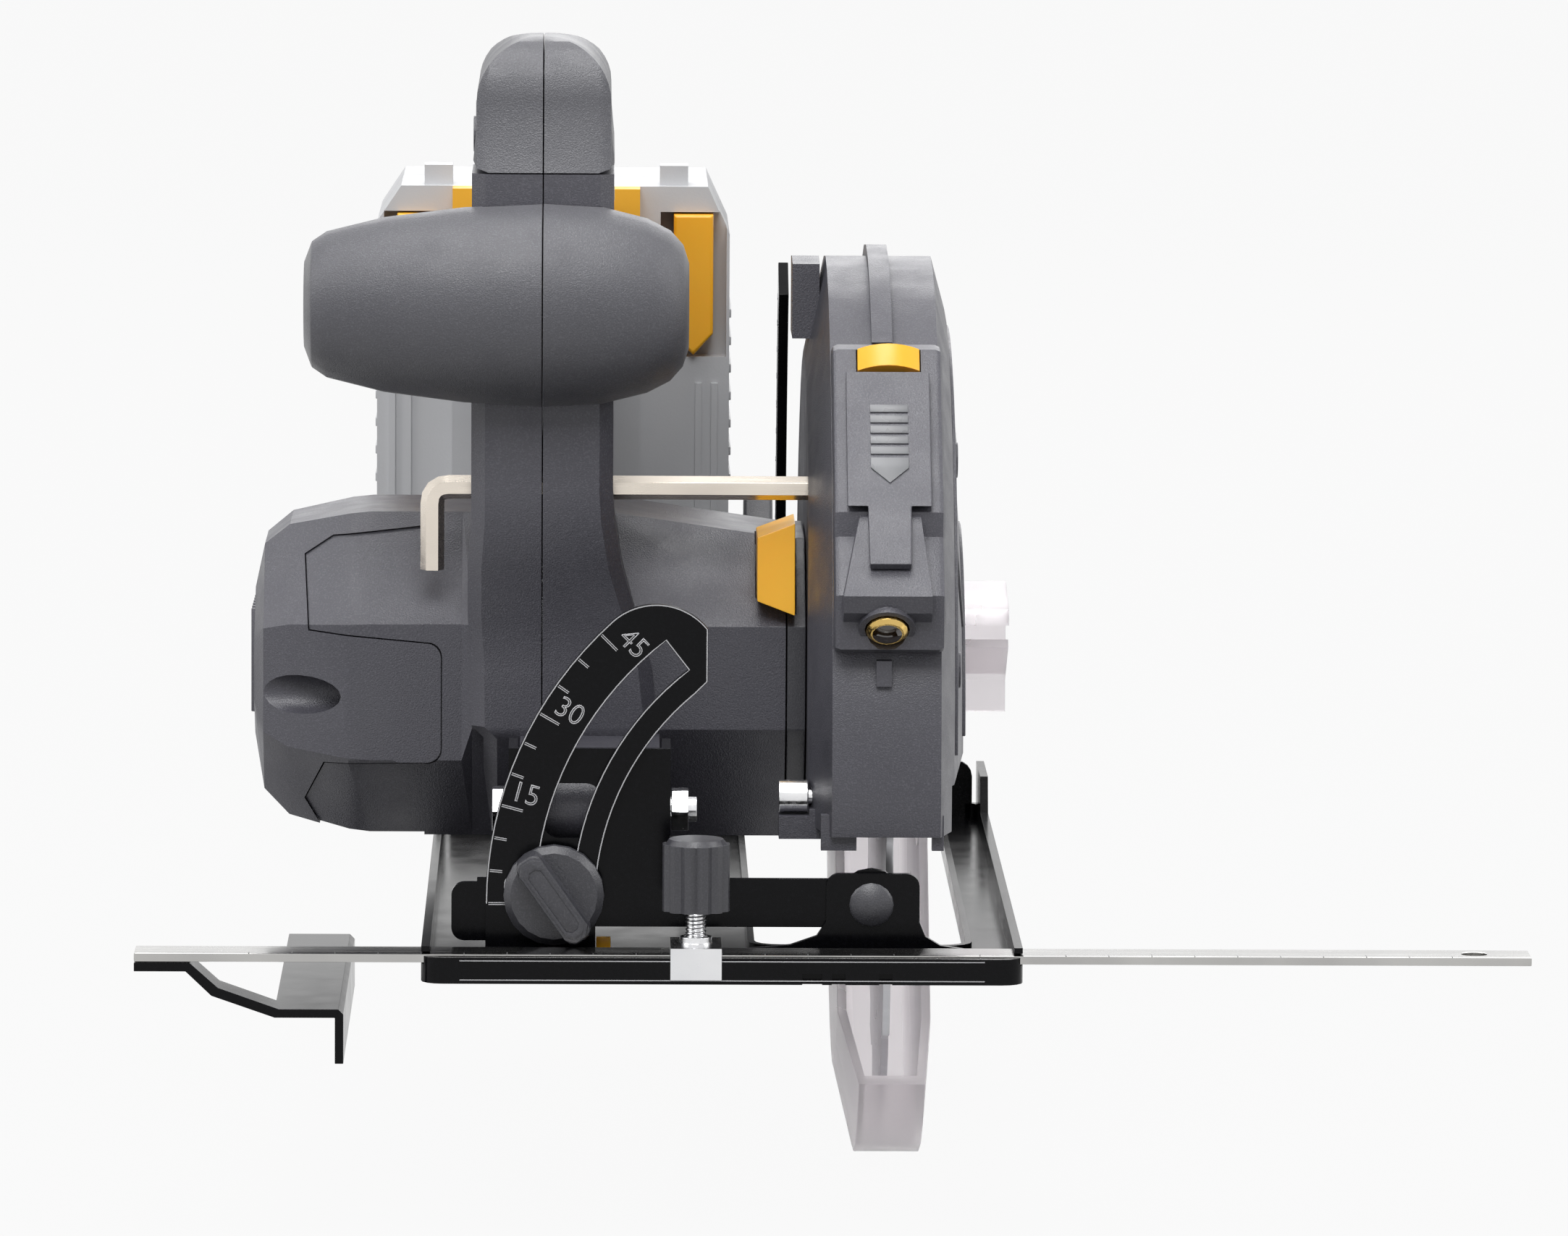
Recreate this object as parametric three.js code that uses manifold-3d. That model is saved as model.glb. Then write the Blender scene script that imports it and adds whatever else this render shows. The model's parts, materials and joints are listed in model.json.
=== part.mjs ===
// Cordless circular saw: a standalone three.js model in millimetres, +Z up.
// The saw cuts towards -Y. The origin is the centre of the base plate's underside.
import * as THREE from 'three';
import { mergeVertices } from 'three/addons/utils/BufferGeometryUtils.js';
import Module from 'manifold-3d';

const wasm = await Module();
wasm.setup();

// ---------------------------------------------------------------- driving dimensions
const clearance = 0.3; // between pieces that touch or slide on each other

const base = {
  width: 140, length: 272, sheet: 2, corner: 5,
  frontRim: 6.1, sideRim: 8.1, rearRim: 17,
  openingLeft: 8, openingRight: 57.7, openingFront: 34, rearBar: 15, lip: 1.6, lipHeight: 4.5,
};
const bevel = {
  x: 35.2, z: 15.1, // tilt axis, along Y
  outer: 90.5, inner: 64.7, slotMiddle: 74.5, slotWidth: 8.4, slotTop: 52, knobAngle: 1.8,
  front: 26, sheet: 2, barHeight: 11.4, rivetHead: 5.4, pin: 3, reach: 98.5,
};
const depth = {
  fromFront: 43, z: 35.3, // depth pivot, along X
  bracketLeft: -50, bracketRight: -12, bracketTop: 51.5, bracketDepth: 27, bolt: 3,
  boltFromBack: 13, guideWidth: 14, guideX: 15.9, guideSheet: 2.5, guideTop: 30.4, boltAngle: 1.5, range: 26,
};
const fence = {
  front: 3, width: 12, thickness: 2, bottom: 4.5, left: -136.7, right: 188.5,
  faceX: -88, faceBottom: -19.4, plateTop: -6.6, shoeLength: 120, hole: 3, holeFromEnd: 13,
};
const clampKnob = { x: -6.1, radius: 7.95, bottom: 16.2, top: 33, screw: 2.5, flutes: 12 };
const blade = { x: 40.4, plate: 1.8, radius: 95, teeth: 24, gullet: 6.5 };
// Places on the tilting body, marked y, are measured back from a datum this far ahead of the base's back edge.
const bodyDatum = 272;
const spindleAxis = { y: 155, z: 41.3 };
const motorAxis = { y: 138, z: 62.3 };
const gears = { module: 9 / 7, wheelTeeth: 35, pinionTeeth: 7, left: 3, width: 10 };
const motor = { can: 28, canWall: 2.5, rotor: 23.5, shaft: 4, fanRoom: 28.5, left: -69.6, right: -28 };
const housing = {
  seamX: -42.6, left: -71, step: -59.4, right: 16, front: 42, sideFront: 39.5, crease: 10, low: -15, sideLow: -23,
  top: 35, topFlat: 19, droop: 6, bottom: 43, bottomFlat: 25, halfLug: 8.8,
};
const cap = {
  left: -112.2, wall: 7, hollow: 27.5, panelSink: 0.6, panelThick: 3.5, tongueRight: -66.9, tongueThick: 2,
};
const column = { left: -59.6, right: -25.7, front: 84, back: 118, chamfer: 3.3, top: 181.9 };
const grip = { left: -99.4, right: -7.8, radius: 24.3, depthShare: 0.86, z: 150.7, y: 84 };
const handle = { left: -58.6, right: -26.4, round: 15, top: 213.6, back: 230, bottom: 62, loopFloor: 116.1 };
const guard = { left: 21.1, outer: 115.5, wall: 2.8, right: 59.3, bottom: 29, sideBottom: 40, boltHole: 44 };
const lower = { left: 29, right: 51.5, outer: 105, wall: 2.2, frontEnd: 228.5, backEnd: 370 };
const gearCase = { left: 16.3, right: 20.8, boss: 20, bossEnd: 27.5, bearing: 16, bearingBore: 7.5 };
const battery = { left: -85, right: 3.6, front: 231, back: 296, bottom: 66, top: 167.5 };
const laser = { left: 26.2, right: 52.6, coverLeft: 29.5, coverRight: 49.4 };
const hexKey = { flats: 5, z: 105.6, y: 98, left: -69, right: 23.4, drop: 20, bend: 4 };

// ---------------------------------------------------------------- shared places
const frontY = -base.length / 2;
const fromFront = (distance) => frontY + distance;
const bevelBackFace = bevel.front + bevel.sheet;
const bracketFront = bevelBackFace + clearance;
const bracketBack = bracketFront + bevel.sheet;
const depthY = fromFront(depth.fromFront);
const backY = base.length / 2;
const onBody = (distance) => backY - bodyDatum + distance;
const spindleY = onBody(spindleAxis.y);
const motorY = onBody(motorAxis.y);
const boltAngle = THREE.MathUtils.degToRad(depth.boltAngle);
const guideRadius = (backY - depth.boltFromBack - depthY) / Math.cos(boltAngle);
const knob = {
  x: bevel.x - bevel.slotMiddle * Math.cos(THREE.MathUtils.degToRad(bevel.knobAngle)),
  z: bevel.z + bevel.slotMiddle * Math.sin(THREE.MathUtils.degToRad(bevel.knobAngle)),
  radius: 11.8,
};

// ---------------------------------------------------------------- materials
const material = (color, roughness, metalness = 0) => new THREE.MeshStandardMaterial({ color, roughness, metalness });
const finish = {
  plastic: material(0x45464b, 0.62),
  darkPlastic: material(0x2b2c30, 0.55),
  rubber: material(0x4a4b50, 0.78),
  amber: material(0xffb21c, 0.4),
  blackSteel: material(0x0c0c0e, 0.22, 0.6),
  nickel: material(0xb9ab98, 0.28, 1),
  steel: material(0x8f9094, 0.35, 1),
  zinc: material(0xd9dadb, 0.25, 1),
  brass: material(0xc59a3a, 0.3, 1),
  copper: material(0xa8653b, 0.4, 1),
  clear: new THREE.MeshStandardMaterial({ color: 0xe6dfe6, roughness: 0.15, transparent: true, opacity: 0.45 }),
  batteryGrey: material(0xc9cacd, 0.5),
};

// ---------------------------------------------------------------- solid helpers
function solid(geometry) {
  const plain = geometry.index ? geometry.toNonIndexed() : geometry.clone();
  for (const name of Object.keys(plain.attributes)) if (name !== 'position') plain.deleteAttribute(name);
  const merged = mergeVertices(plain, 1e-4);
  const corners = merged.getAttribute('position');
  const index = merged.index.array;
  let kept = [];
  let volume = 0;
  const [a, b, c] = [new THREE.Vector3(), new THREE.Vector3(), new THREE.Vector3()];
  for (let i = 0; i < index.length; i += 3) {
    const [p, q, r] = [index[i], index[i + 1], index[i + 2]];
    if (p === q || q === r || r === p) continue;
    kept.push(p, q, r);
    a.fromBufferAttribute(corners, p);
    b.fromBufferAttribute(corners, q);
    c.fromBufferAttribute(corners, r);
    volume += a.dot(b.cross(c));
  }
  if (volume < 0) kept = kept.reverse();
  const vertProperties = new Float32Array(corners.array);
  return new wasm.Manifold(new wasm.Mesh({ numProp: 3, vertProperties, triVerts: new Uint32Array(kept) }));
}

function geometryOf(body) {
  const { vertProperties, triVerts } = body.getMesh();
  const geometry = new THREE.BufferGeometry();
  geometry.setAttribute('position', new THREE.BufferAttribute(Float32Array.from(vertProperties), 3));
  geometry.setIndex(Array.from(triVerts));
  return geometry;
}

function piece(name, body, surface, parent) {
  const shape = geometryOf(body).toNonIndexed();
  shape.computeVertexNormals();
  const mesh = new THREE.Mesh(shape, surface);
  mesh.name = name;
  parent.add(mesh);
  return mesh;
}

const join = (...bodies) => bodies.reduce((all, next) => all.add(next));
const cut = (body, ...tools) => tools.reduce((left, tool) => left.subtract(tool), body);

function box(x0, x1, y0, y1, z0, z1) {
  const geometry = new THREE.BoxGeometry(x1 - x0, y1 - y0, z1 - z0);
  return solid(geometry.translate((x0 + x1) / 2, (y0 + y1) / 2, (z0 + z1) / 2));
}

const polygon = (points) => new THREE.Shape(points.map(([u, v]) => new THREE.Vector2(u, v)));

function roundedRectangle(u0, u1, v0, v1, radius) {
  const shape = new THREE.Shape();
  shape.moveTo(u0 + radius, v0).lineTo(u1 - radius, v0).absarc(u1 - radius, v0 + radius, radius, -Math.PI / 2, 0);
  shape.lineTo(u1, v1 - radius).absarc(u1 - radius, v1 - radius, radius, 0, Math.PI / 2);
  shape.lineTo(u0 + radius, v1).absarc(u0 + radius, v1 - radius, radius, Math.PI / 2, Math.PI);
  shape.lineTo(u0, v0 + radius).absarc(u0 + radius, v0 + radius, radius, Math.PI, Math.PI * 1.5);
  return shape;
}

const round = (u, v, radius) => new THREE.Shape().absarc(u, v, radius, 0, Math.PI * 2);

const axesX = new THREE.Matrix4().makeBasis(
  new THREE.Vector3(0, 1, 0), new THREE.Vector3(0, 0, 1), new THREE.Vector3(1, 0, 0));
const axesY = new THREE.Matrix4().makeBasis(
  new THREE.Vector3(1, 0, 0), new THREE.Vector3(0, 0, 1), new THREE.Vector3(0, -1, 0));

// The outline's points with repeated ones dropped, running anticlockwise, or clockwise for a hole.
function cornersOf(path, segments, isHole = false) {
  const all = path.getPoints(segments);
  const points = all.filter((point, i) => point.distanceTo(all[(i + 1) % all.length]) > 1e-3);
  return THREE.ShapeUtils.isClockWise(points) === isHole ? points : points.reverse();
}

function extrude(outline, length, segments, edge) {
  const shape = new THREE.Shape(cornersOf(outline, segments));
  shape.holes = outline.holes.map((hole) => new THREE.Path(cornersOf(hole, segments, true)));
  const edges = edge
    ? { bevelEnabled: true, bevelSize: edge, bevelThickness: edge, bevelOffset: -edge, bevelSegments: 2 }
    : { bevelEnabled: false };
  const depthLeft = edge ? length - 2 * edge : length;
  const geometry = new THREE.ExtrudeGeometry(shape, { depth: depthLeft, ...edges });
  return edge ? geometry.translate(0, 0, edge) : geometry;
}

// A shape drawn in (Y, Z) and extruded along X, in (X, Z) along Y, or in (X, Y) along Z.
const alongX = (shape, x0, x1, segments = 3, edge = 0) =>
  solid(extrude(shape, x1 - x0, segments, edge).applyMatrix4(axesX).translate(x0, 0, 0));
const alongY = (shape, y0, y1, segments = 3, edge = 0) =>
  solid(extrude(shape, y1 - y0, segments, edge).applyMatrix4(axesY).translate(0, y1, 0));
const alongZ = (shape, z0, z1, segments = 3, edge = 0) =>
  solid(extrude(shape, z1 - z0, segments, edge).translate(0, 0, z0));

// A closed profile of [place along the axis, radius] points turned about the X, Y or Z axis.
function turned(profile, segments) {
  const points = profile.map(([along, radius]) => new THREE.Vector2(Math.max(radius, 0), along));
  const first = profile[0];
  const last = profile[profile.length - 1];
  const onAxis = first[1] === 0 && last[1] === 0;
  if (!onAxis) points.push(points[0].clone());
  return new THREE.LatheGeometry(points, segments);
}
const turnedX = (profile, segments = 18) => solid(turned(profile, segments).rotateZ(-Math.PI / 2));
const turnedY = (profile, segments = 16) => solid(turned(profile, segments));
const turnedZ = (profile, segments = 18) => solid(turned(profile, segments).rotateX(Math.PI / 2));

const rod = (x0, x1, radius, segments = 12) => turnedX([[x0, 0], [x0, radius], [x1, radius], [x1, 0]], segments);
const ring = (x0, x1, inner, outer, segments = 18) =>
  turnedX([[x0, inner], [x0, outer], [x1, outer], [x1, inner]], segments);

// Straight skins between sections of equal point count, closed by a flat cap at each end.
function loft(sections) {
  const count = sections[0].length;
  const corners = sections.flat().flat();
  const index = [];
  for (let s = 0; s < sections.length - 1; s += 1) {
    for (let i = 0; i < count; i += 1) {
      const [p, q] = [s * count + i, s * count + ((i + 1) % count)];
      index.push(p, q, q + count, p, q + count, p + count);
    }
  }
  const lastStart = (sections.length - 1) * count;
  for (let i = 1; i < count - 1; i += 1) {
    index.push(0, i + 1, i, lastStart, lastStart + i, lastStart + i + 1);
  }
  const geometry = new THREE.BufferGeometry();
  geometry.setAttribute('position', new THREE.BufferAttribute(new Float32Array(corners), 3));
  geometry.setIndex(index);
  return solid(geometry);
}

const moved = (body, x, y, z) => body.translate([x, y, z]);

const saw = new THREE.Group();
function groupAt(x, y, z, parent = saw) {
  const group = new THREE.Group();
  group.position.set(x, y, z);
  parent.add(group);
  return group;
}

// ---------------------------------------------------------------- base plate and rip fence
const half = base.width / 2;
const earLeft = bevel.x - 10.6;
const earRight = bevel.x + 11.3;
const fenceY0 = fromFront(fence.front);
const fenceY1 = fenceY0 + fence.width;
const fenceTop = fence.bottom + fence.thickness;

function earShape(top, footLeft, footRight) {
  const foot = base.sheet / 2;
  const shape = new THREE.Shape();
  shape.moveTo(footLeft, foot).lineTo(footRight, foot).lineTo(footRight, 4.6);
  shape.quadraticCurveTo(earRight + 0.5, 5, earRight, 11).lineTo(earRight, top - 3);
  shape.absarc(earRight - 3, top - 3, 3, 0, Math.PI / 2).lineTo(earLeft + 3, top);
  shape.absarc(earLeft + 3, top - 3, 3, Math.PI / 2, Math.PI).lineTo(earLeft, 11);
  shape.quadraticCurveTo(earLeft - 0.5, 5, footLeft, 4.6);
  return shape;
}

function basePlate() {
  const { sheet, corner, lip, openingLeft: left, openingRight: right } = base;
  const outer = roundedRectangle(-half, half, frontY, backY, corner);
  const inside = roundedRectangle(-half + sheet, half - sheet, frontY + sheet, backY - sheet, corner - sheet);
  const [openFront, openBack] = [fromFront(base.openingFront), backY - base.rearBar];
  const opening = roundedRectangle(left, right, openFront, openBack, 6);
  const lipOutline = roundedRectangle(left - lip, right + lip, openFront - lip, openBack + lip, 7);
  const wallFront = fromFront(corner);
  const sideWall = (x) => box(x, x + sheet, wallFront, backY - corner, sheet / 2, base.sideRim);
  const cornerEar = polygon([[backY - 36, 6], [backY - 32, base.rearRim], [backY - 2, base.rearRim], [backY - 2, 6]]);
  const tallSide = (x) => alongX(cornerEar, x, x + sheet);
  const rearWall = alongY(roundedRectangle(-half + 3, half - 3, 1, base.rearRim, 4), backY - sheet, backY, 2);
  const frontEar = alongY(earShape(bevel.z + 7.3, bevel.x - 29, bevel.x + 21.8),
    fromFront(bevel.front), fromFront(bevelBackFace));
  const rearEar = alongY(earShape(bevel.z + 8.9, bevel.x - 20, bevel.x + 20), backY - sheet, backY);
  const rests = [-35, 0, 35].map((x) => box(x - 9, x + 9, fenceY0 + 1, fenceY1 - 1, sheet / 2,
    fence.bottom - clearance));
  const body = join(alongZ(outer, 0, base.frontRim, 2).subtract(alongZ(inside, sheet, 20, 2)),
    sideWall(-half), sideWall(half - sheet), tallSide(-half), tallSide(half - sheet), rearWall,
    frontEar, rearEar, alongZ(lipOutline, sheet / 2, base.lipHeight, 2), ...rests);
  const pinHole = turnedY([[frontY, 0], [frontY, bevel.pin + clearance], [backY + 1, bevel.pin + clearance],
    [backY + 1, 0]]);
  const fenceSlot = box(-half - 1, half + 1, fenceY0 - clearance, fenceY1 + clearance,
    fence.bottom - clearance, fenceTop + clearance);
  const sights = [[18.6, 23.2], [25.5, 28.6], [36.5, 39.5]].map(([x0, x1]) =>
    box(x0, x1, frontY - 1, frontY + 1.4, -1, 2.6));
  return cut(body, alongZ(opening, -1, 20, 2), moved(pinHole, bevel.x, 0, bevel.z), fenceSlot, ...sights);
}

const root = groupAt(0, 0, 0);
piece('base_plate', basePlate(), finish.blackSteel, root);

function rivet(frontFace, backFace) {
  const { pin, rivetHead } = bevel;
  return turnedY([[frontFace - 1.8, 0], [frontFace - 1.6, 2.6], [frontFace - 0.7, rivetHead - 0.8],
    [frontFace, rivetHead], [frontFace, pin], [backFace, pin], [backFace, rivetHead - 0.6],
    [backFace + 1.2, rivetHead - 1.4], [backFace + 1.2, 0]]);
}

const bevelPlace = groupAt(bevel.x, 0, bevel.z);
piece('front_bevel_rivet', rivet(fromFront(bevel.front) - clearance, fromFront(bracketBack) + clearance),
  finish.darkPlastic, bevelPlace);
piece('rear_bevel_rivet', rivet(backY - 2 * base.sheet - 2 * clearance, backY + clearance),
  finish.darkPlastic, bevelPlace);

// Bevel quadrant: a sector about the tilt axis with a curved slot, drawn from the axis.
function quadrant() {
  const { outer, inner, slotMiddle, slotWidth, slotTop } = bevel;
  const angle = (degrees) => Math.PI - THREE.MathUtils.degToRad(degrees);
  const point = (radius, degrees) => [radius * Math.cos(angle(degrees)), radius * Math.sin(angle(degrees))];
  const foot = base.sheet + clearance - bevel.z;
  const nose = { radius: 15.5, centre: point(outer - 15.5, 47.5) };
  const rightEdge = -38.6;
  const noseEnd = Math.acos((rightEdge - nose.centre[0]) / nose.radius);
  const innerTop = 50;
  const shape = new THREE.Shape();
  shape.moveTo(-outer, foot).lineTo(-outer, 0).absarc(0, 0, outer, Math.PI, angle(47.5), true);
  shape.absarc(...nose.centre, nose.radius, angle(47.5), noseEnd, true);
  shape.lineTo(rightEdge, 52.5).lineTo(...point(inner, innerTop));
  shape.absarc(0, 0, inner, angle(innerTop), Math.PI, false).lineTo(-inner, foot);
  const [slotOut, slotIn] = [slotMiddle + slotWidth / 2, slotMiddle - slotWidth / 2];
  const slot = new THREE.Path();
  slot.moveTo(...point(slotOut, -3)).absarc(0, 0, slotOut, angle(-3), angle(slotTop), true);
  slot.lineTo(...point(slotIn, slotTop)).absarc(0, 0, slotIn, angle(slotTop), angle(-3), false);
  shape.holes.push(slot);
  const sheet = alongY(shape, fromFront(bevel.front), fromFront(bevelBackFace), 8);
  const footFlange = box(-outer, -inner, fromFront(bevel.front), fromFront(bevel.front) + 9, foot, foot + 2);
  return join(sheet, footFlange);
}
piece('bevel_quadrant', quadrant(), finish.blackSteel, bevelPlace);

// Strap over the fence bar, its screw and knob.
const strapTop = fenceTop + clearance;
const clampY = fenceY0 + fence.width / 2;
function fenceStrap() {
  const [y0, y1] = [frontY - clearance - 1.5, fenceY1 + clearance + 1.5];
  const profile = polygon([[y0, 1.2], [y0 + 1.5, 1.2], [y0 + 1.5, strapTop], [y1 - 1.5, strapTop],
    [y1 - 1.5, base.sheet + clearance], [y1, base.sheet + clearance], [y1, strapTop + 1.9], [y0, strapTop + 1.9]]);
  const collar = moved(turnedZ([[strapTop, 0], [strapTop, 3.8], [strapTop + 3.3, 3.8], [strapTop + 3.3, 0]], 16),
    clampKnob.x, clampY, 0);
  const hole = moved(turnedZ([[0, 0], [0, clampKnob.screw + clearance], [30, clampKnob.screw + clearance],
    [30, 0]], 16), clampKnob.x, clampY, 0);
  return cut(join(alongX(profile, clampKnob.x - 6, clampKnob.x + 6), collar), hole);
}
piece('fence_clamp_strap', fenceStrap(), finish.zinc, root);

const clampPlace = groupAt(clampKnob.x, clampY, 0);
piece('fence_clamp_screw', turnedZ([[fenceTop + clearance, 0], [fenceTop + clearance, clampKnob.screw],
  [clampKnob.bottom + 8, clampKnob.screw], [clampKnob.bottom + 8, 0]], 16), finish.zinc, clampPlace);

function flutedKnob() {
  const { radius, flutes, bottom, top, screw } = clampKnob;
  const points = [];
  for (let i = 0; i < flutes * 3; i += 1) {
    const angle = (i / (flutes * 3)) * Math.PI * 2;
    const reach = i % 3 === 0 ? radius - 0.9 : radius;
    points.push([reach * Math.cos(angle), reach * Math.sin(angle)]);
  }
  const body = alongZ(polygon(points), bottom, top - 1.2);
  const crown = turnedZ([[top - 1.3, 0], [top - 1.3, radius - 0.7], [top, radius - 1.6], [top, 0]]);
  const bore = turnedZ([[0, 0], [0, screw + clearance], [bottom + 8 + clearance, screw + clearance],
    [bottom + 8 + clearance, 0]], 16);
  return cut(join(body, crown), bore);
}
piece('fence_clamp_knob', flutedKnob(), finish.darkPlastic, clampPlace);

const fenceBar = box(fence.left, fence.right, fenceY0, fenceY1, fence.bottom, fenceTop);
const fenceHole = moved(turnedZ([[0, 0], [0, fence.hole], [9, fence.hole], [9, 0]], 20),
  fence.right - fence.holeFromEnd, clampY, 0);
piece('rip_fence_bar', cut(fenceBar, fenceHole), finish.nickel, root);

function fenceShoe() {
  const { left, faceX, plateTop, faceBottom, shoeLength } = fence;
  const under = fence.bottom - clearance;
  const arm = polygon([[left, under], [left, under - 2], [left + 12, under - 2], [left + 18, -3.5],
    [faceX - 16, plateTop - 2], [faceX - 8, plateTop - 2], [faceX - 8, plateTop], [faceX - 15, plateTop],
    [left + 19.5, -1.6], [left + 13, under]]);
  const guide = polygon([[faceX - 16, plateTop], [faceX - 16, plateTop - 2], [faceX - 2, plateTop - 2],
    [faceX - 2, faceBottom], [faceX, faceBottom], [faceX, plateTop - 1.2], [faceX - 1.2, plateTop]]);
  return join(alongY(arm, fenceY0, fenceY1), alongY(guide, fenceY0, fenceY0 + shoeLength));
}
piece('rip_fence_shoe', fenceShoe(), finish.blackSteel, root);

// ---------------------------------------------------------------- tilting brackets
function frontBracket() {
  const { x, z, barHeight, reach } = bevel;
  const { bracketLeft, bracketRight, bracketTop, bracketDepth } = depth;
  const [y0, y1] = [fromFront(bracketFront), fromFront(bracketBack)];
  const [low, high] = [z - barHeight / 2, z + barHeight / 2];
  const bar = box(x - reach + 6, x, y0, y1, low, high);
  const end = moved(turnedY([[y0, 0], [y0, 8.2], [y1, 8.2], [y1, 0]]), x, 0, z);
  const pointer = alongY(roundedRectangle(x - reach, x - reach + 14, low - 3.4, high - 1, 3), y0, y1);
  const wall = box(bracketLeft, bracketRight, y0, y1, low, bracketTop);
  const backEnd = y0 + bracketDepth;
  const cheek = polygon([[y0, low], [backEnd - 8, low], [backEnd, low + 10], [backEnd, bracketTop - 8],
    [backEnd - 8, bracketTop], [y0, bracketTop]]);
  const cheeks = [bracketLeft, bracketRight - 2].map((left) => alongX(cheek, left, left + 2));
  const window = alongY(roundedRectangle(bracketLeft + 8, bracketRight - 16, depth.z - 5, depth.z + 8, 4), y0 - 1, y1 + 1);
  const holes = [[x, z], [knob.x, knob.z]].map(([hx, hz]) =>
    moved(turnedY([[y0 - 1, 0], [y0 - 1, bevel.pin + clearance], [y1 + 1, bevel.pin + clearance], [y1 + 1, 0]], 16),
      hx, 0, hz));
  const boltHole = moved(rod(bracketLeft - 1, bracketRight + 1, depth.bolt + clearance), 0, depthY, depth.z);
  return cut(join(bar, end, pointer, wall, ...cheeks), window, ...holes, boltHole);
}
piece('bevel_bracket_front', frontBracket(), finish.blackSteel, root);

const hexagon = (across) => {
  const shape = new THREE.Shape();
  for (let i = 0; i < 6; i += 1) {
    const angle = (i * Math.PI) / 3;
    shape[i ? 'lineTo' : 'moveTo']((across / Math.sqrt(3)) * Math.cos(angle), (across / Math.sqrt(3)) * Math.sin(angle));
  }
  return shape;
};

const depthPlace = groupAt(0, depthY, depth.z);
const boltHead = depth.bracketLeft - clearance;
const nutFace = depth.bracketRight + clearance;
piece('depth_pivot_bolt', join(alongX(hexagon(10), boltHead - 3.6, boltHead),
  rod(boltHead - 0.5, nutFace + 6, depth.bolt)), finish.zinc, depthPlace);
piece('depth_pivot_nut', cut(alongX(hexagon(9.5), nutFace, nutFace + 4),
  rod(nutFace - 1, nutFace + 5, depth.bolt + clearance)), finish.zinc, depthPlace);

const knobPlace = groupAt(knob.x, 0, knob.z);
const boltBack = fromFront(bracketBack) + clearance;
piece('bevel_bolt', turnedY([[fromFront(14.5), 0], [fromFront(14.5), bevel.pin], [boltBack, bevel.pin],
  [boltBack, 6.2], [boltBack + 1.4, 6.2], [boltBack + 2.6, 3.4], [boltBack + 2.6, 0]], 20),
finish.blackSteel, knobPlace);

function wingKnob() {
  const back = fromFront(bevel.front) - clearance;
  const disc = turnedY([[back - 4.2, 0], [back - 4.2, knob.radius - 1.6], [back - 2.6, knob.radius],
    [back, knob.radius], [back, 0]], 20);
  const wing = alongY(roundedRectangle(-3.4, 3.4, -knob.radius, knob.radius, 2.4), back - 10.4, back - 1, 3, 1.1);
  const bore = turnedY([[fromFront(14.5) - clearance, 0], [fromFront(14.5) - clearance, bevel.pin + clearance],
    [back + 1, bevel.pin + clearance], [back + 1, 0]], 16);
  return cut(join(disc, wing.rotate([0, -35.8, 0])), bore);
}
piece('bevel_knob', wingKnob(), finish.darkPlastic, knobPlace);

// Curved depth guide on the rear bracket; the body's clamp bolt runs in its slot.
function depthGuide() {
  const { guideWidth, guideX, guideSheet, guideTop, range } = depth;
  const rad = THREE.MathUtils.degToRad;
  const outer = guideRadius + guideWidth / 2;
  const inner = guideRadius - guideWidth / 2;
  const low = rad(-5.6);
  const shape = new THREE.Shape();
  shape.absarc(0, 0, outer, low, rad(guideTop), false).absarc(0, 0, inner, rad(guideTop), low, true);
  const slotIn = guideRadius - 3.5;
  const slotOut = guideRadius + 3.5;
  const [from, to] = [boltAngle - rad(1.2), boltAngle + rad(range + 1.2)];
  const slot = new THREE.Path();
  slot.moveTo(slotOut * Math.cos(from), slotOut * Math.sin(from)).absarc(0, 0, slotOut, from, to, false);
  slot.lineTo(slotIn * Math.cos(to), slotIn * Math.sin(to)).absarc(0, 0, slotIn, to, from, true);
  shape.holes.push(slot);
  const arc = moved(alongX(shape, guideX, guideX + guideSheet, 7), 0, depthY, depth.z);
  const [y0, y1] = [backY - 2 * base.sheet - clearance, backY - base.sheet - clearance];
  const cross = box(guideX, bevel.x, y0, y1, bevel.z - 6, bevel.z + 6);
  const end = moved(turnedY([[y0, 0], [y0, 8.2], [y1, 8.2], [y1, 0]]), bevel.x, 0, bevel.z);
  const web = box(guideX, guideX + guideSheet, depthY + inner + 1, y1, bevel.z - 6, bevel.z + 6);
  const hole = moved(turnedY([[y0 - 1, 0], [y0 - 1, bevel.pin + clearance], [y1 + 1, bevel.pin + clearance],
    [y1 + 1, 0]], 16), bevel.x, 0, bevel.z);
  return cut(join(arc, cross, end, web), hole);
}
piece('depth_guide', depthGuide(), finish.blackSteel, root);

// ---------------------------------------------------------------- motor housing
// The eight-sided housing section about the motor axis: each form gives its front, lower crease and top.
const sideForm = { front: housing.sideFront, low: housing.sideLow, top: housing.top };
const centreForm = { front: housing.front, low: housing.low, top: housing.top };
const endForm = { ...centreForm, top: housing.top - housing.droop };
function sectionAt(x, { front, low, top }, wide = 1, high = 1) {
  const { crease, topFlat, bottom, bottomFlat } = housing;
  const corners = [[-front, crease], [-front, low], [-bottomFlat, -bottom], [bottomFlat, -bottom],
    [front, low], [front, crease], [topFlat, top], [-topFlat, top]];
  return corners.map(([y, z]) => [x, y * wide, z * high]);
}
const gearRight = gears.left + gears.width;
const wheelTip = gears.module * (gears.wheelTeeth / 2 + 0.62);
const wallX = -9;

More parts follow.
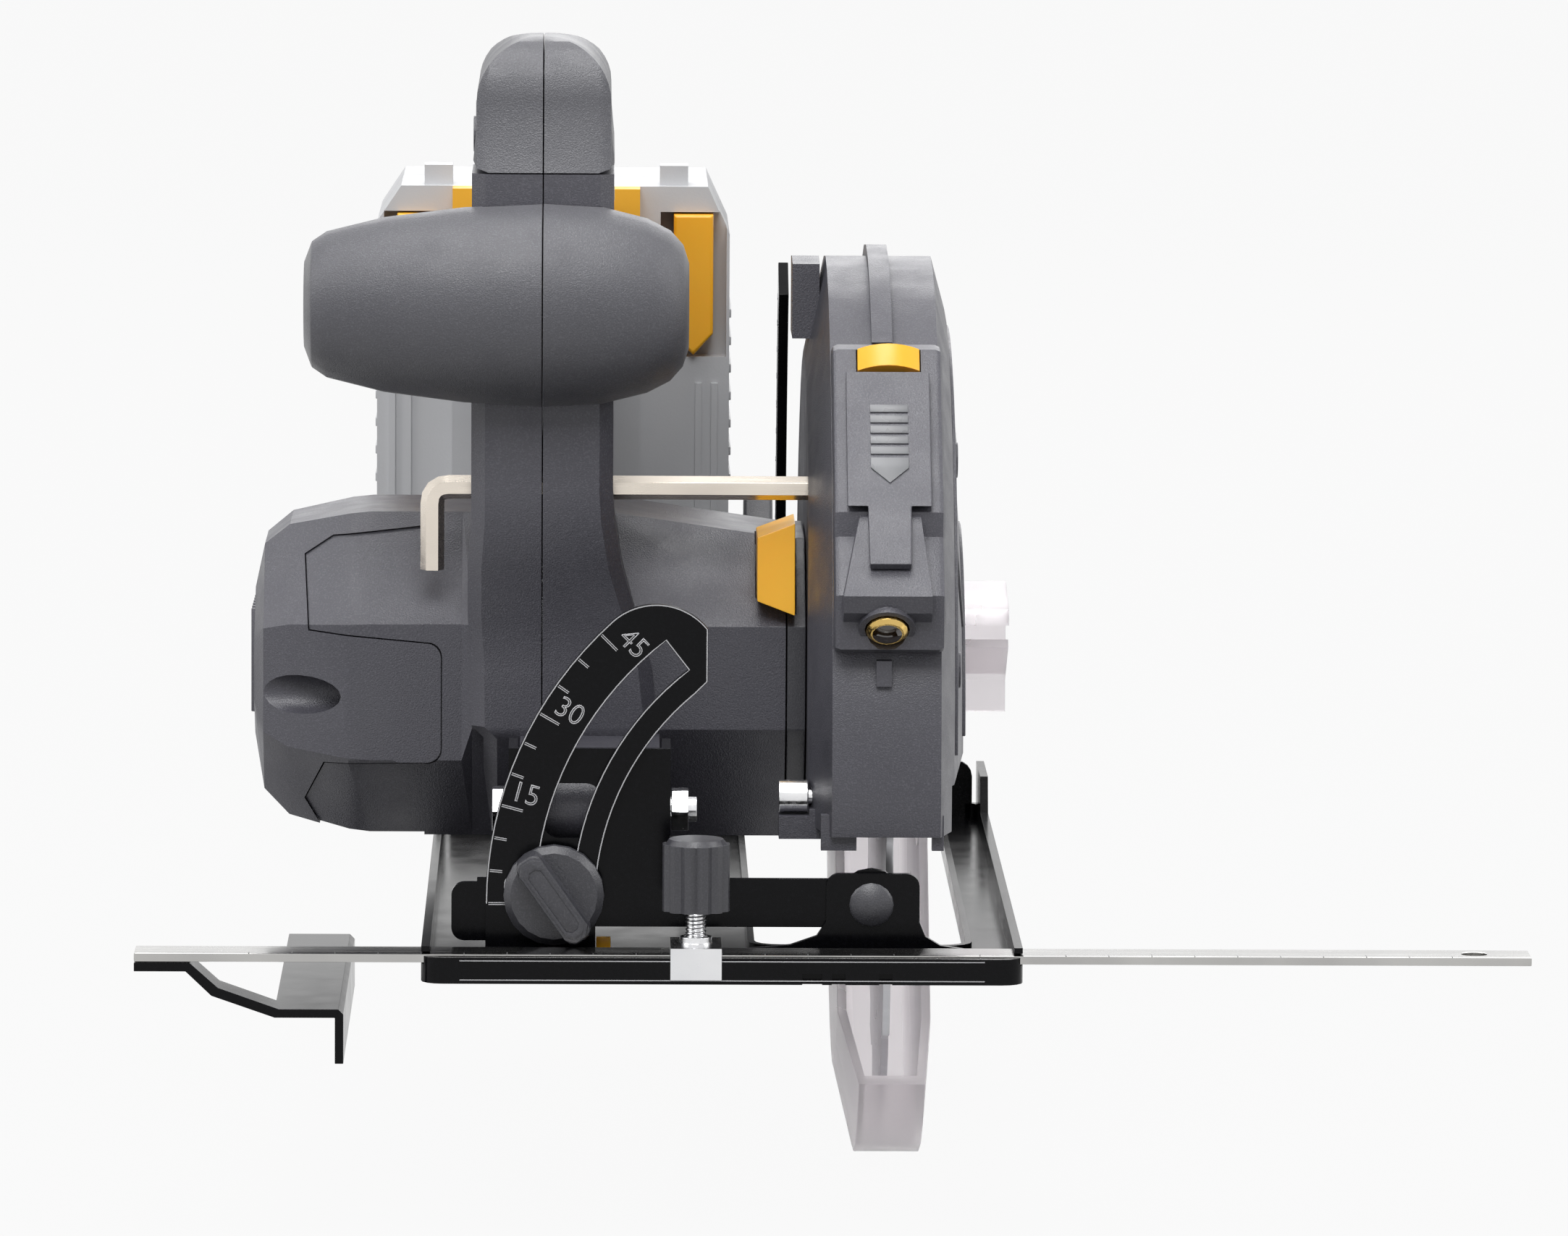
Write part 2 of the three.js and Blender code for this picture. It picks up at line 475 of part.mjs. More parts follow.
const lugOutline = () => {
  const shape = new THREE.Shape();
  const back = motorY - housing.front + 22;
  shape.moveTo(back, depth.z - housing.halfLug).lineTo(depthY, depth.z - housing.halfLug);
  shape.absarc(depthY, depth.z, housing.halfLug, -Math.PI / 2, Math.PI / 2, true);
  shape.lineTo(back, depth.z + housing.halfLug + 3);
  return shape;
};

const columnSection = (x0, x1, y0, y1, z, c) => [[x0 + c, y0, z], [x1 - c, y0, z], [x1, y0 + c, z],
  [x1, y1 - c, z], [x1 - c, y1, z], [x0 + c, y1, z], [x0, y1 - c, z], [x0, y0 + c, z]];

// The column grows out of the housing's front: each row holds the height over the motor axis, how far the
// left and right sides stand out, and how far the front and back faces lie behind those of the shaft.
function columnBody() {
  const { left, right, chamfer, top } = column;
  const rows = [[1 - housing.bottom, -3, 11, 27, 6], [housing.low - 2, -3, 11, 9, 6], [housing.low + 1, 0, 11, 8, 6],
    [0, 0, 9.5, 8, 6], [housing.crease + 2, 0.8, 6, 7.5, 6], [25, 0.8, 2.2, 2.5, 6], [36, 0, 0.5, 0.4, 1],
    [44, 0, 0, 0, 0], [top - motorAxis.z, 0, 0, 0, 0]];
  return loft(rows.map(([height, toLeft, toRight, front, back]) => columnSection(left - toLeft, right + toRight,
    onBody(column.front) + front, onBody(column.back) + back, motorAxis.z + height, chamfer)));
}

function hexHole(growth) {
  const size = hexKey.flats / Math.sqrt(3) + growth;
  return moved(rod(hexKey.left - 4, hexKey.right + 1, size, 12), 0, onBody(hexKey.y), hexKey.z);
}

// Panels of the left housing half that fill windows in the end cap's slopes, drawn in (X, Z) from the motor axis.
function panelWindows(grow) {
  const right = housing.left + 1;
  const upper = polygon([[right, 5.5 - grow], [-98.6 - grow, 8.1 - grow], [-99.8 - grow, 25.1],
    [-93 - grow, 29.3 + grow], [right, 31.8 + grow]]);
  const lower = polygon([[right, -23.9 + grow], [-94.9 - grow, -24.3 + grow], [-99.7 - grow, -34],
    [-93 - grow, -46], [right, -46]]);
  return join(alongY(upper, -45, -20), alongY(upper, 20, 45), alongY(lower, -45, 45));
}

// The end cap's outer form, drawn in by an inset: [distance from the end, share of width, share of height].
const capRounding = [[0, 0.63, 0.45], [2.3, 0.74, 0.76], [8.4, 0.83, 0.9], [23, 1, 0.985], [28, 1, 1]];
function capForm(inset, right) {
  const share = 1 - inset / housing.sideFront;
  const rounded = capRounding.map(([along, wide, high]) =>
    sectionAt(cap.left + along, sideForm, wide * share, high * share));
  return loft([...rounded, sectionAt(right, sideForm, share, share)]);
}

// The end cap's tongue over the housing's front, where its screw sits.
function tongueForm(grow, front) {
  const back = -housing.sideFront + cap.tongueThick;
  return alongY(roundedRectangle(-80, cap.tongueRight + grow, -23.6 - grow, 5.3 + grow, 3.5), front, back + grow);
}

function slopePanels() {
  const skin = capForm(cap.panelSink, housing.left + 1);
  const inside = capForm(cap.panelSink + cap.panelThick, housing.left + 2);
  return skin.subtract(inside).intersect(panelWindows(0));
}

function housingBody() {
  const { left, step, right } = housing;
  const shell = loft([sectionAt(left, sideForm), sectionAt(step - 2.5, sideForm), sectionAt(step, centreForm),
    sectionAt(column.right, centreForm), sectionAt(right, endForm)]);
  const motorEnd = moved(cut(join(shell, slopePanels()), tongueForm(clearance, -60)), 0, motorY, motorAxis.z);
  const gearBoss = moved(rod(wallX, right, wheelTip + 3.2, 24), 0, spindleY, spindleAxis.z);
  const lug = alongX(lugOutline(), depth.bracketLeft + 2 + clearance, depth.bracketRight - 2 - clearance, 6);
  const bore = moved(join(rod(left - 1, motor.right + clearance, motor.can + clearance, 28),
    rod(motor.right, motor.right + 3, motor.can - 2, 28), rod(motor.right + 2.9, wallX - 4, motor.fanRoom, 28)),
  0, motorY, motorAxis.z);
  const wheelRoom = moved(rod(gears.left - 1.5, right + 1, wheelTip + 2 * clearance, 24), 0, spindleY, spindleAxis.z);
  const pinionRoom = moved(rod(gears.left - 1.5, right + 1, 9, 16), 0, motorY, motorAxis.z);
  const bearingSeat = moved(rod(wallX - 5, gears.left + 1, 11 + clearance, 20), 0, motorY, motorAxis.z);
  const spindleSeat = moved(rod(wallX + 3, gears.left + 1, 5 + clearance, 16), 0, spindleY, spindleAxis.z);
  const boltHole = moved(rod(depth.bracketLeft, depth.bracketRight, depth.bolt + clearance), 0, depthY, depth.z);
  const screwHole = moved(rod(left - 1, left + 10, 2 + clearance), 0, capScrew.y, capScrew.z);
  return cut(join(motorEnd, gearBoss, columnBody(), lug), bore, wheelRoom, pinionRoom, bearingSeat, spindleSeat,
    boltHole, screwHole, hexHole(clearance), lockPocket());
}

const capScrew = { y: motorY - 34, z: motorAxis.z - 7.8, well: 4.7 };

// Spindle-lock button, leaning on the housing's upper front slope, and its pocket with room for the press.
const lockButton = { x0: 9, x1: 18.1, low: 75.3, high: 97.1, rise: 3.4, front: 93, lean: 5, travel: 4 };
function lockForm(grow, ahead, behind) {
  const { x0, x1, low, high, rise, lean } = lockButton;
  const y = onBody(lockButton.front);
  const side = polygon([[y - ahead, low - grow], [y + lean - ahead, high + grow], [y + 27 + behind, high + grow],
    [y + 27 + behind, 89], [y + 10 + behind, low - grow]]);
  const front = polygon([[x0 - grow, low + rise - grow * 0.6], [x1 + grow, low - grow], [x1 + grow, high + grow],
    [x0 - grow, high - rise + grow * 0.6]]);
  return alongX(side, x0 - 1, x1 + 1).intersect(alongY(front, y - ahead - 1, y + 40));
}
const lockPocket = () => lockForm(clearance, 5, lockButton.travel + clearance);

function halves(body, seam) {
  const gapHalf = clearance / 2;
  const far = 400;
  const left = body.subtract(box(seam - gapHalf, far, -far, far, -far, far));
  const right = body.subtract(box(-far, seam + gapHalf, -far, far, -far, far));
  return [left, right];
}

const [housingLeft, housingRight] = halves(housingBody(), housing.seamX);
piece('housing_left', housingLeft, finish.plastic, root);
piece('housing_right', housingRight, finish.plastic, root);

function endCap() {
  const inner = housing.left - clearance;
  const pockets = panelWindows(clearance).subtract(capForm(cap.panelSink + cap.panelThick + clearance, inner + 2));
  const shell = cut(capForm(0, inner), rod(cap.left + cap.wall, inner + 1, cap.hollow, 28), pockets);
  const seat = ring(cap.left + cap.wall - 1, cap.left + 16, 11 + clearance, 14, 20);
  const tongue = tongueForm(0, -housing.sideFront);
  const [y, z] = [capScrew.y - motorY, capScrew.z - motorAxis.z];
  const screwWell = moved(rod(cap.left - 1, screwSeat, capScrew.well, 20), 0, y, z);
  const screwHole = moved(rod(cap.left, inner + 10, 2 + clearance), 0, y, z);
  return cut(join(shell, seat, tongue), screwWell, screwHole);
}
const motorPlace = groupAt(0, motorY, motorAxis.z);
const screwSeat = housing.left - clearance - 14;
piece('motor_end_cap', endCap(), finish.plastic, motorPlace);
piece('end_cap_screw', moved(join(rod(screwSeat - 2.6, screwSeat - clearance, 3.9, 14),
  rod(screwSeat - 1, housing.left + 8, 2)), 0, capScrew.y, capScrew.z), finish.steel, root);

// ---------------------------------------------------------------- motor
piece('motor_can', ring(motor.left, motor.right, motor.can - motor.canWall, motor.can, 28), finish.steel, motorPlace);
piece('rear_motor_bearing', ring(cap.left + 9, cap.left + 16, motor.shaft + clearance, 11, 20), finish.zinc,
  motorPlace);
piece('front_motor_bearing', ring(wallX - 1, wallX + 6, motor.shaft + clearance, 11, 20), finish.zinc, motorPlace);

function brushHolder() {
  const body = ring(-91, -82, 21, cap.hollow - clearance, 24);
  const brushes = [0, 180].map((turn) => box(-89, -84, -2.5, 2.5, 12.4, 22).rotate([turn, 0, 0]));
  return join(body, ...brushes);
}
piece('brush_holder', brushHolder(), finish.darkPlastic, motorPlace);

function rotorBody() {
  const slots = 10;
  const shape = new THREE.Shape();
  for (let i = 0; i < slots; i += 1) {
    const step = (Math.PI * 2) / slots;
    const at = (radius, share) => [radius * Math.cos((i + share) * step), radius * Math.sin((i + share) * step)];
    shape[i ? 'lineTo' : 'moveTo'](...at(motor.rotor, 0));
    const rim = [[motor.rotor, 0.4], [motor.rotor, 0.8], [motor.rotor - 6, 0.84], [motor.rotor - 6, 0.96]];
    rim.forEach(([radius, share]) => shape.lineTo(...at(radius, share)));
  }
  return join(alongX(shape, motor.left + 6, motor.right - 4), rod(-92, -81, 12, 20),
    rod(cap.left + 9, gearRight + 1, motor.shaft), rod(-81, motor.left + 7, 15, 16));
}
const rotorSpin = groupAt(0, motorY, motorAxis.z);
piece('rotor', cut(rotorBody(), rod(gears.left - 0.7, 20, 5)).add(rod(gears.left - 1.5, gearRight + 1, 2.4)),
  finish.copper, rotorSpin);

function fan() {
  const blades = 9;
  const disc = ring(-22.5, -21, motor.shaft + clearance, motor.fanRoom - 2, 18);
  const hub = ring(-24, -16, motor.shaft + clearance, 9, 18);
  const vanes = [...Array(blades).keys()].map((i) =>
    box(-21.2, -15, -0.8, 0.8, 8.6, motor.fanRoom - 3).rotate([(i * 360) / blades, 0, 0]));
  return join(disc, hub, ...vanes);
}
piece('cooling_fan', fan(), finish.darkPlastic, rotorSpin);

// Spur gear: straight-sided short teeth with running backlash; toothAt is where one tooth's middle points.
function gear(teeth, bore, toothAt) {
  const { module, left } = gears;
  const pitch = (module * teeth) / 2;
  const shape = new THREE.Shape();
  const step = (Math.PI * 2) / teeth;
  const rows = [[pitch - 0.85 * module, -0.33], [pitch + 0.58 * module, -0.1],
    [pitch + 0.58 * module, 0.1], [pitch - 0.85 * module, 0.33]];
  for (let i = 0; i < teeth; i += 1) {
    rows.forEach(([radius, share], row) => {
      const angle = toothAt + (i + share) * step;
      shape[i + row ? 'lineTo' : 'moveTo'](radius * Math.cos(angle), radius * Math.sin(angle));
    });
  }
  shape.holes.push(new THREE.Path().absarc(0, 0, bore, 0, Math.PI * 2));
  return alongX(shape, left, left + gears.width, 5);
}
const towardMotor = Math.atan2(motorAxis.z - spindleAxis.z, motorY - spindleY);
piece('motor_pinion', gear(gears.pinionTeeth, 2.4 + clearance, towardMotor + Math.PI), finish.steel, rotorSpin);

// ---------------------------------------------------------------- gear case, spindle and blade
function gearHousing() {
  const { left, right, boss, bossEnd, bearing } = gearCase;
  const plate = moved(loft([sectionAt(left, endForm), sectionAt(right, endForm)]), 0, motorY - spindleY,
    motorAxis.z - spindleAxis.z);
  const skirt = rod(left, right, wheelTip + 3.2, 24);
  const neck = rod(right - 1, bossEnd, boss, 28);
  const seat = rod(left - 1, bossEnd - 2.6, bearing + clearance, 24);
  const mouth = rod(left - 1, bossEnd + 1, 12, 20);
  const button = moved(lockPocket(), 0, -spindleY, -spindleAxis.z);
  return cut(join(plate, skirt, neck), seat, mouth, button);
}
const spindlePlace = groupAt(0, spindleY, spindleAxis.z);
piece('gear_housing', gearHousing(), finish.darkPlastic, spindlePlace);
piece('spindle_bearing', ring(gearCase.left + 0.4, gearCase.bossEnd - 2.9,
  gearCase.bearingBore + clearance, gearCase.bearing, 24), finish.zinc, spindlePlace);

const bladeLeft = blade.x - blade.plate / 2;
const bladeRight = blade.x + blade.plate / 2;
const bladeSpin = groupAt(0, spindleY, spindleAxis.z);
piece('drive_gear', gear(gears.wheelTeeth, 5 + clearance, towardMotor + Math.PI / gears.wheelTeeth),
  finish.steel, bladeSpin);
piece('spindle', join(rod(wallX + 4, gearCase.left, 5, 20), rod(gearCase.left - 1, 32.6, gearCase.bearingBore, 18),
  rod(32, bladeRight + 2, 5, 16)).subtract(rod(34, 50, 2.6)), finish.steel, bladeSpin);
piece('inner_flange', turnedX([[33, 5.3], [33, 12], [bladeLeft - 3.2, 17], [bladeLeft - clearance, 17],
  [bladeLeft - clearance, 5.3]], 20), finish.steel, bladeSpin);

function sawBlade() {
  const { radius, teeth, gullet } = blade;
  const shape = new THREE.Shape();
  const step = (Math.PI * 2) / teeth;
  for (let i = 0; i < teeth; i += 1) {
    const at = (reach, share) => [reach * Math.cos(-(i + share) * step), reach * Math.sin(-(i + share) * step)];
    shape[i ? 'lineTo' : 'moveTo'](...at(radius, 0));
    [[radius - 0.6, 0.12], [radius - 2.4, 0.5], [radius - gullet, 0.8], [radius - gullet, 0.93], [radius - 3.5, 1]]
      .forEach(([reach, share]) => shape.lineTo(...at(reach, share)));
  }
  shape.holes.push(new THREE.Path().absarc(0, 0, 5 + clearance, 0, Math.PI * 2));
  return alongX(shape, bladeLeft, bladeRight, 5);
}
piece('saw_blade', sawBlade(), finish.steel, bladeSpin);
piece('outer_flange', turnedX([[bladeRight + clearance, 5.3], [bladeRight + clearance, 17],
  [bladeRight + 2.2, 17], [bladeRight + 4, 11], [bladeRight + 4, 5.3]], 20), finish.steel, bladeSpin);
const headLeft = bladeRight + 4 + clearance;
function bladeBolt() {
  const head = turnedX([[headLeft, 0], [headLeft, 8.6], [headLeft + 1.4, 8.6], [headLeft + 1.4, 6.5],
    [headLeft + 6, 6.2], [headLeft + 6, 0]], 18);
  const keySocket = alongX(hexagon(hexKey.flats + 0.2), headLeft + 2.4, headLeft + 8);
  return cut(join(rod(35, headLeft + 1, 2.3, 12), head), keySocket);
}
piece('blade_bolt', bladeBolt(), finish.zinc, bladeSpin);

// ---------------------------------------------------------------- guards
// A wedge of the (Y, Z) plane between two angles, used to keep part of a turned body.
function wedge(fromDegrees, toDegrees, reach) {
  const steps = Math.ceil((toDegrees - fromDegrees) / 20);
  const points = [[0, 0]];
  for (let i = 0; i <= steps; i += 1) {
    const angle = THREE.MathUtils.degToRad(fromDegrees + ((toDegrees - fromDegrees) * i) / steps);
    points.push([reach * Math.cos(angle), reach * Math.sin(angle)]);
  }
  return alongX(polygon(points), -20, 100);
}

const guardSegments = 36;
const padFace = guard.left + 6; // inner face of the pad under the depth clamp's bolt
const clampBolt = { y: backY - depth.boltFromBack, z: depth.z + guideRadius * Math.sin(boltAngle) };

function upperGuard() {
  const { left, outer, wall, right, bottom, sideBottom, boltHole } = guard;
  const shell = turnedX([[left, gearCase.boss + 0.4], [left, 92], [left + 5, outer], [right - 7.5, outer],
    [right - 4, 102.4], [right, boltHole], [right - wall, boltHole], [right - wall - 4, 100.5],
    [right - 9, outer - wall], [left + 6.4, outer - wall], [left + wall, 91],
    [left + wall, gearCase.boss + 0.4]], guardSegments);
  const rib = ring(36, 41, outer - 1, outer + 2.8, guardSegments).intersect(wedge(20, 122, 200));
  const below = box(-50, 200, -200, 200, -200, bottom - spindleAxis.z);
  const sideBelow = box(right - 4.6, 200, -200, 200, -200, sideBottom - spindleAxis.z);
  const edge = bottom - spindleAxis.z;
  const tabs = [[23.6, 32], [49.8, 52.6]].map(([x0, x1]) => box(x0, x1, -112.6, -109.6, edge - 3.4, edge + 5));
  const bolt = [clampBolt.y - spindleY, clampBolt.z - spindleAxis.z];
  const boltBoss = moved(rod(depth.guideX + depth.guideSheet + clearance, padFace, 7, 14), 0, ...bolt);
  const boltHoleX = moved(rod(0, 40, depth.bolt + clearance), 0, ...bolt);
  const topBoss = box(17.9, 24.5, -12, 11, 96.2, 120).intersect(rod(0, 40, outer, guardSegments));
  const gusset = box(36.4, 40, -114.2, -110, 23.5, 29.6);
  const buffer = box(13.9, left + 1, -98, -88, -15, -9.6);
  const arm = box(left, left + wall, -98, -84, -15, -8);
  const body = cut(join(shell, rib), below, sideBelow);
  const stopHole = moved(rod(0, 40, 2.2, 12), 0, ...stopPin);
  const hex = moved(hexHole(clearance), 0, -spindleY, -spindleAxis.z);
  return cut(join(body, boltBoss, topBoss, gusset, ...tabs, buffer, arm), boltHoleX, stopHole, hex);
}
const stopPin = [-93, -5.4];
piece('upper_guard', upperGuard(), finish.plastic, spindlePlace);
piece('guard_stop_pin', moved(join(rod(13.9, guard.left - clearance, 3.95, 20),
  rod(guard.left - 1, guard.left + 2.6, 1.9, 12)), 0, ...stopPin), finish.zinc, spindlePlace);

function lowerGuard() {
  const { left, right, outer, wall, frontEnd, backEnd } = lower;
  const shell = turnedX([[left, 20.8], [left, 84], [left + 5, outer], [right - 1.5, outer], [right, 86], [right, 30],
    [right - wall, 30], [right - wall, 85.5], [right - 3.6, outer - wall - 0.4], [left + 6.4, outer - wall - 0.4],
    [left + wall, 83.5], [left + wall, 20.8]], guardSegments).intersect(wedge(frontEnd, backEnd, 200));
  const hub = ring(guard.left + guard.wall + 0.7, left + wall, gearCase.boss + 0.4, 24.8, 28);
  return join(shell, hub);
}
const guardSwing = groupAt(0, spindleY, spindleAxis.z);
piece('lower_guard', lowerGuard(), finish.clear, guardSwing);

// Lever on the guard's outer wall, reaching round the upper guard's edge.
function guardLever() {
  const foot = lower.right + clearance;
  const outside = guard.right + 0.5;
  const tip = 73.5;
  const arm = box(foot, outside + 2.2, 31, 42, -5, 5);
  const paddle = alongX(polygon([[31, -5], [42, -6], [70, -5.5], [70, 27.5], [48, 27.5], [31, 5]]), outside,
    outside + 2.2);
  const finger = alongX(polygon([[46, 23], [66, 27.5], [70, 27.5], [70, -5.5], [67.6, -5.5], [67.6, 23], [46, 19]]),
    outside, tip);
  const rib = alongX(polygon([[50, 15], [69, 4], [69, 2], [49, 13]]), outside, tip);
  return join(arm, paddle, finger, rib);
}
piece('guard_lever', guardLever(), finish.clear, guardSwing);

function torsionSpring() {
  const points = [...Array(5).keys()].map((i) => {
    const angle = (i * Math.PI) / 2.5;
    return [26.6 + Math.cos(angle) * 1.1, 26.3 + Math.sin(angle) * 1.1];
  });
  return turnedX(points);
}
piece('guard_return_spring', torsionSpring(), finish.steel, spindlePlace);

// ---------------------------------------------------------------- main handle and front grip
const triggerPlace = { y: 162, z: 178.5 }; // pivot, measured from the base's front edge
const triggerWidth = 11;
const lockOff = { y: 108, z: 198.6, halfLength: 7.5, halfHeight: 1.7, sink: 1.6 };

function handleOutline() {
  const { top, back, bottom, loopFloor } = handle;
  const deck = motorAxis.z + housing.top + clearance;
  const behindMotor = motorY + housing.front + 3 * clearance;
  const columnBack = onBody(column.back) + clearance;
  const columnTop = column.top + clearance;
  const front = onBody(column.front);
  const shape = new THREE.Shape();
  shape.moveTo(front, columnTop).lineTo(front + 3.5, columnTop + 11);
  shape.lineTo(front + 4, top - 14).quadraticCurveTo(front + 5, top - 1, front + 18, top);
  shape.lineTo(onBody(116), top).quadraticCurveTo(onBody(160), top - 3, onBody(194), top - 27);
  shape.lineTo(onBody(back - 8), top - 50).quadraticCurveTo(onBody(back), top - 56, onBody(back), top - 66);
  shape.lineTo(onBody(back), bottom).lineTo(behindMotor, bottom);
  shape.lineTo(behindMotor, motorAxis.z + housing.crease).lineTo(motorY + housing.topFlat + 2 * clearance, deck);
  shape.lineTo(columnBack + 6, deck).lineTo(columnBack + 2, loopFloor).lineTo(onBody(150), loopFloor + 2);
  shape.quadraticCurveTo(onBody(190), loopFloor + 2, onBody(196), loopFloor + 22);
  shape.quadraticCurveTo(onBody(198), top - 50, onBody(178), top - 43);
  shape.lineTo(onBody(150), top - 37.5).lineTo(columnBack + 1, top - 35.5).lineTo(columnBack + 0.2, columnTop);
  return shape;
}

// The handle seen from the front: a round top over a slightly wider collar that meets the column.
function handleFrontView() {
  const { left, right, round: radius, top, bottom } = handle;
  const shape = new THREE.Shape();
  shape.moveTo(left, bottom - 1).lineTo(right, bottom - 1).lineTo(right, column.top - 6);
  shape.lineTo(right + 0.8, column.top).lineTo(right + 0.8, column.top + 2).lineTo(right, column.top + 11);
  shape.lineTo(right, top - radius).absarc(right - radius, top - radius, radius, 0, Math.PI / 2);
  shape.lineTo(left + radius, top).absarc(left + radius, top - radius, radius, Math.PI / 2, Math.PI);
  shape.lineTo(left, column.top + 11).lineTo(left - 0.8, column.top + 2).lineTo(left - 0.8, column.top);
  return shape.lineTo(left, column.top - 6);
}

const latchX = { left: -75, right: -5.5 };
const rail = { depth: 9, hook: 3, hookFrom: 4.5, hookThick: 3.4 };
const dockFace = onBody(handle.back);

function lockOffForm(grow, x0, x1) {
  const { halfLength, halfHeight } = lockOff;
  return alongX(roundedRectangle(-halfLength - grow, halfLength + grow, -halfHeight - grow, halfHeight + grow,
    halfHeight), x0, x1);
}

function handleBody() {
  const { left, right } = handle;
  const frontView = alongY(handleFrontView(), onBody(0), dockFace + 1, 5);
  const body = alongX(handleOutline(), left - 1, right + 1, 5, 4).intersect(frontView);
  const middle = (left + right) / 2;
  const slot = triggerWidth / 2 + clearance;
  const triggerRoom = box(middle - slot, middle + slot, onBody(124), onBody(166), 160, 184.5);
  const switchRoom = box(middle - 7.5, middle + 7.5, onBody(128), onBody(158), 183, 203.5);
  const lockHole = moved(lockOffForm(clearance, left - 5, middle - 2), 0, onBody(lockOff.y), lockOff.z);
  const terminalRoom = box(middle - 12.8, middle + 12.8, dockFace - 5.3, dockFace + 1, 97.7, 132.3);
  const [hookBack, hookFront] = [dockFace - rail.hookFrom, dockFace - rail.hookFrom - rail.hookThick];
  const grooves = [[left - 1, left + rail.hook + clearance], [right - rail.hook - clearance, right + 1]]
    .map(([x0, x1]) => box(x0, x1, hookFront - clearance, hookBack + clearance, 76, 170));
  return cut(body, triggerRoom, switchRoom, lockHole, terminalRoom, ...grooves);
}
const [handleLeft, handleRight] = halves(handleBody(), housing.seamX);
piece('handle_left', handleLeft, finish.plastic, root);
piece('handle_right', handleRight, finish.plastic, root);

function gripBody() {
  const { left, right, radius } = grip;
  const middle = housing.seamX;
  const profile = [[left, 0], [left, 0.42], [left + 1.8, 0.62], [left + 5.4, 0.72], [left + 19, 0.86],
    [left + 38, 0.96], [middle, 1], [middle + 14, 0.97], [right - 10, 0.86], [right - 4.4, 0.74],
    [right - 1.4, 0.6], [right, 0.42], [right, 0]];
  const barrel = turnedX(profile.map(([x, share]) => [x, share * radius]), 24).scale([1, grip.depthShare, 1]);
  const shaft = loft([90, 200].map((z) => columnSection(column.left - clearance, column.right + clearance,
    onBody(column.front) - clearance, onBody(column.back) + clearance, z, column.chamfer)));
  return cut(moved(barrel, 0, onBody(grip.y), grip.z), shaft);
}
const [gripLeft, gripRight] = halves(gripBody(), housing.seamX);
piece('front_grip_left', gripLeft, finish.rubber, root);
piece('front_grip_right', gripRight, finish.rubber, root);

// Trigger, its switch, and the lock-off button.
const handleMiddle = (handle.left + handle.right) / 2;
function triggerBody() {
  const { y, z } = triggerPlace;
  const shape = new THREE.Shape();
  shape.moveTo(y - 4, z + 3).lineTo(y - 34, z + 3).lineTo(y - 36, z - 3);
  shape.quadraticCurveTo(y - 30, z - 13, y - 22, z - 12).quadraticCurveTo(y - 14, z - 4, y - 2, z - 2.5);
  return alongX(shape, -triggerWidth / 2, triggerWidth / 2, 5, 1.2);
}
const triggerSwing = groupAt(handleMiddle, onBody(0), 0);
piece('trigger', triggerBody(), finish.darkPlastic, triggerSwing);
piece('trigger_switch', box(handleMiddle - 7, handleMiddle + 7, onBody(129), onBody(157), 187, 202.5),
  finish.darkPlastic, root);
piece('lock_off_button', lockOffForm(0, handle.left + lockOff.sink, handle.left + 9), finish.darkPlastic,
  groupAt(0, onBody(lockOff.y), lockOff.z));
piece('spindle_lock_button', lockForm(0, 0, 0), finish.amber, root);

// Stored hex key: long leg through the column into the guard, short leg hanging at its left end.
function hexKeyBody() {
  const { flats, z, left, right, drop, bend } = hexKey;
  const path = new THREE.CurvePath();
  const [corner, end] = [new THREE.Vector3(left, 0, z), new THREE.Vector3(left, 0, z - drop)];
  const after = new THREE.Vector3(left + bend, 0, z);
  const before = new THREE.Vector3(left, 0, z - bend);
  path.add(new THREE.LineCurve3(new THREE.Vector3(right, 0, z), after));
  path.add(new THREE.QuadraticBezierCurve3(after, corner, before));
  path.add(new THREE.LineCurve3(before, end));
  const places = [0, 1].map((t) => path.curves[0].getPoint(t));
  for (let i = 1; i <= 4; i += 1) places.push(path.curves[1].getPoint(i / 4));
  places.push(end);
  const sections = places.map((place, i) => {
    const back = places[Math.max(i - 1, 0)];
    const next = places[Math.min(i + 1, places.length - 1)];
    const along = next.clone().sub(back).normalize();
    const side = new THREE.Vector3(0, 1, 0);
    const up = along.clone().cross(side);
    return [...Array(6).keys()].map((k) => {
      const angle = (k * Math.PI) / 3 + Math.PI / 6;
      const radius = flats / Math.sqrt(3);
      const vertex = place.clone().addScaledVector(side, radius * Math.cos(angle));
      return vertex.addScaledVector(up, radius * Math.sin(angle)).toArray();
    });
  });
  return loft(sections);
}
piece('hex_key', hexKeyBody(), finish.nickel, groupAt(0, onBody(hexKey.y), 0));

// Depth clamp: bolt through the guard's wall and the guide's slot, with a lever as its nut.
const leverPlace = groupAt(0, clampBolt.y, clampBolt.z);
const leverRight = depth.guideX - clearance;
piece('depth_lock_bolt', join(rod(padFace + clearance, padFace + 2.3, 6, 18),
  rod(6.5, padFace + 0.5, depth.bolt, 14)), finish.zinc, leverPlace);
function lockLever() {
  const shape = new THREE.Shape();
  shape.absarc(0, 0, 7.5, Math.PI * 0.75, Math.PI * 1.95, false);
  shape.lineTo(30, 36).absarc(27, 39, 4.2, -Math.PI / 4, Math.PI * 0.75, false);
  return cut(alongX(shape, leverRight - 7.5, leverRight, 4, 1), rod(0, 30, depth.bolt + clearance, 14));
}
piece('depth_lock_lever', lockLever(), finish.darkPlastic, leverPlace);

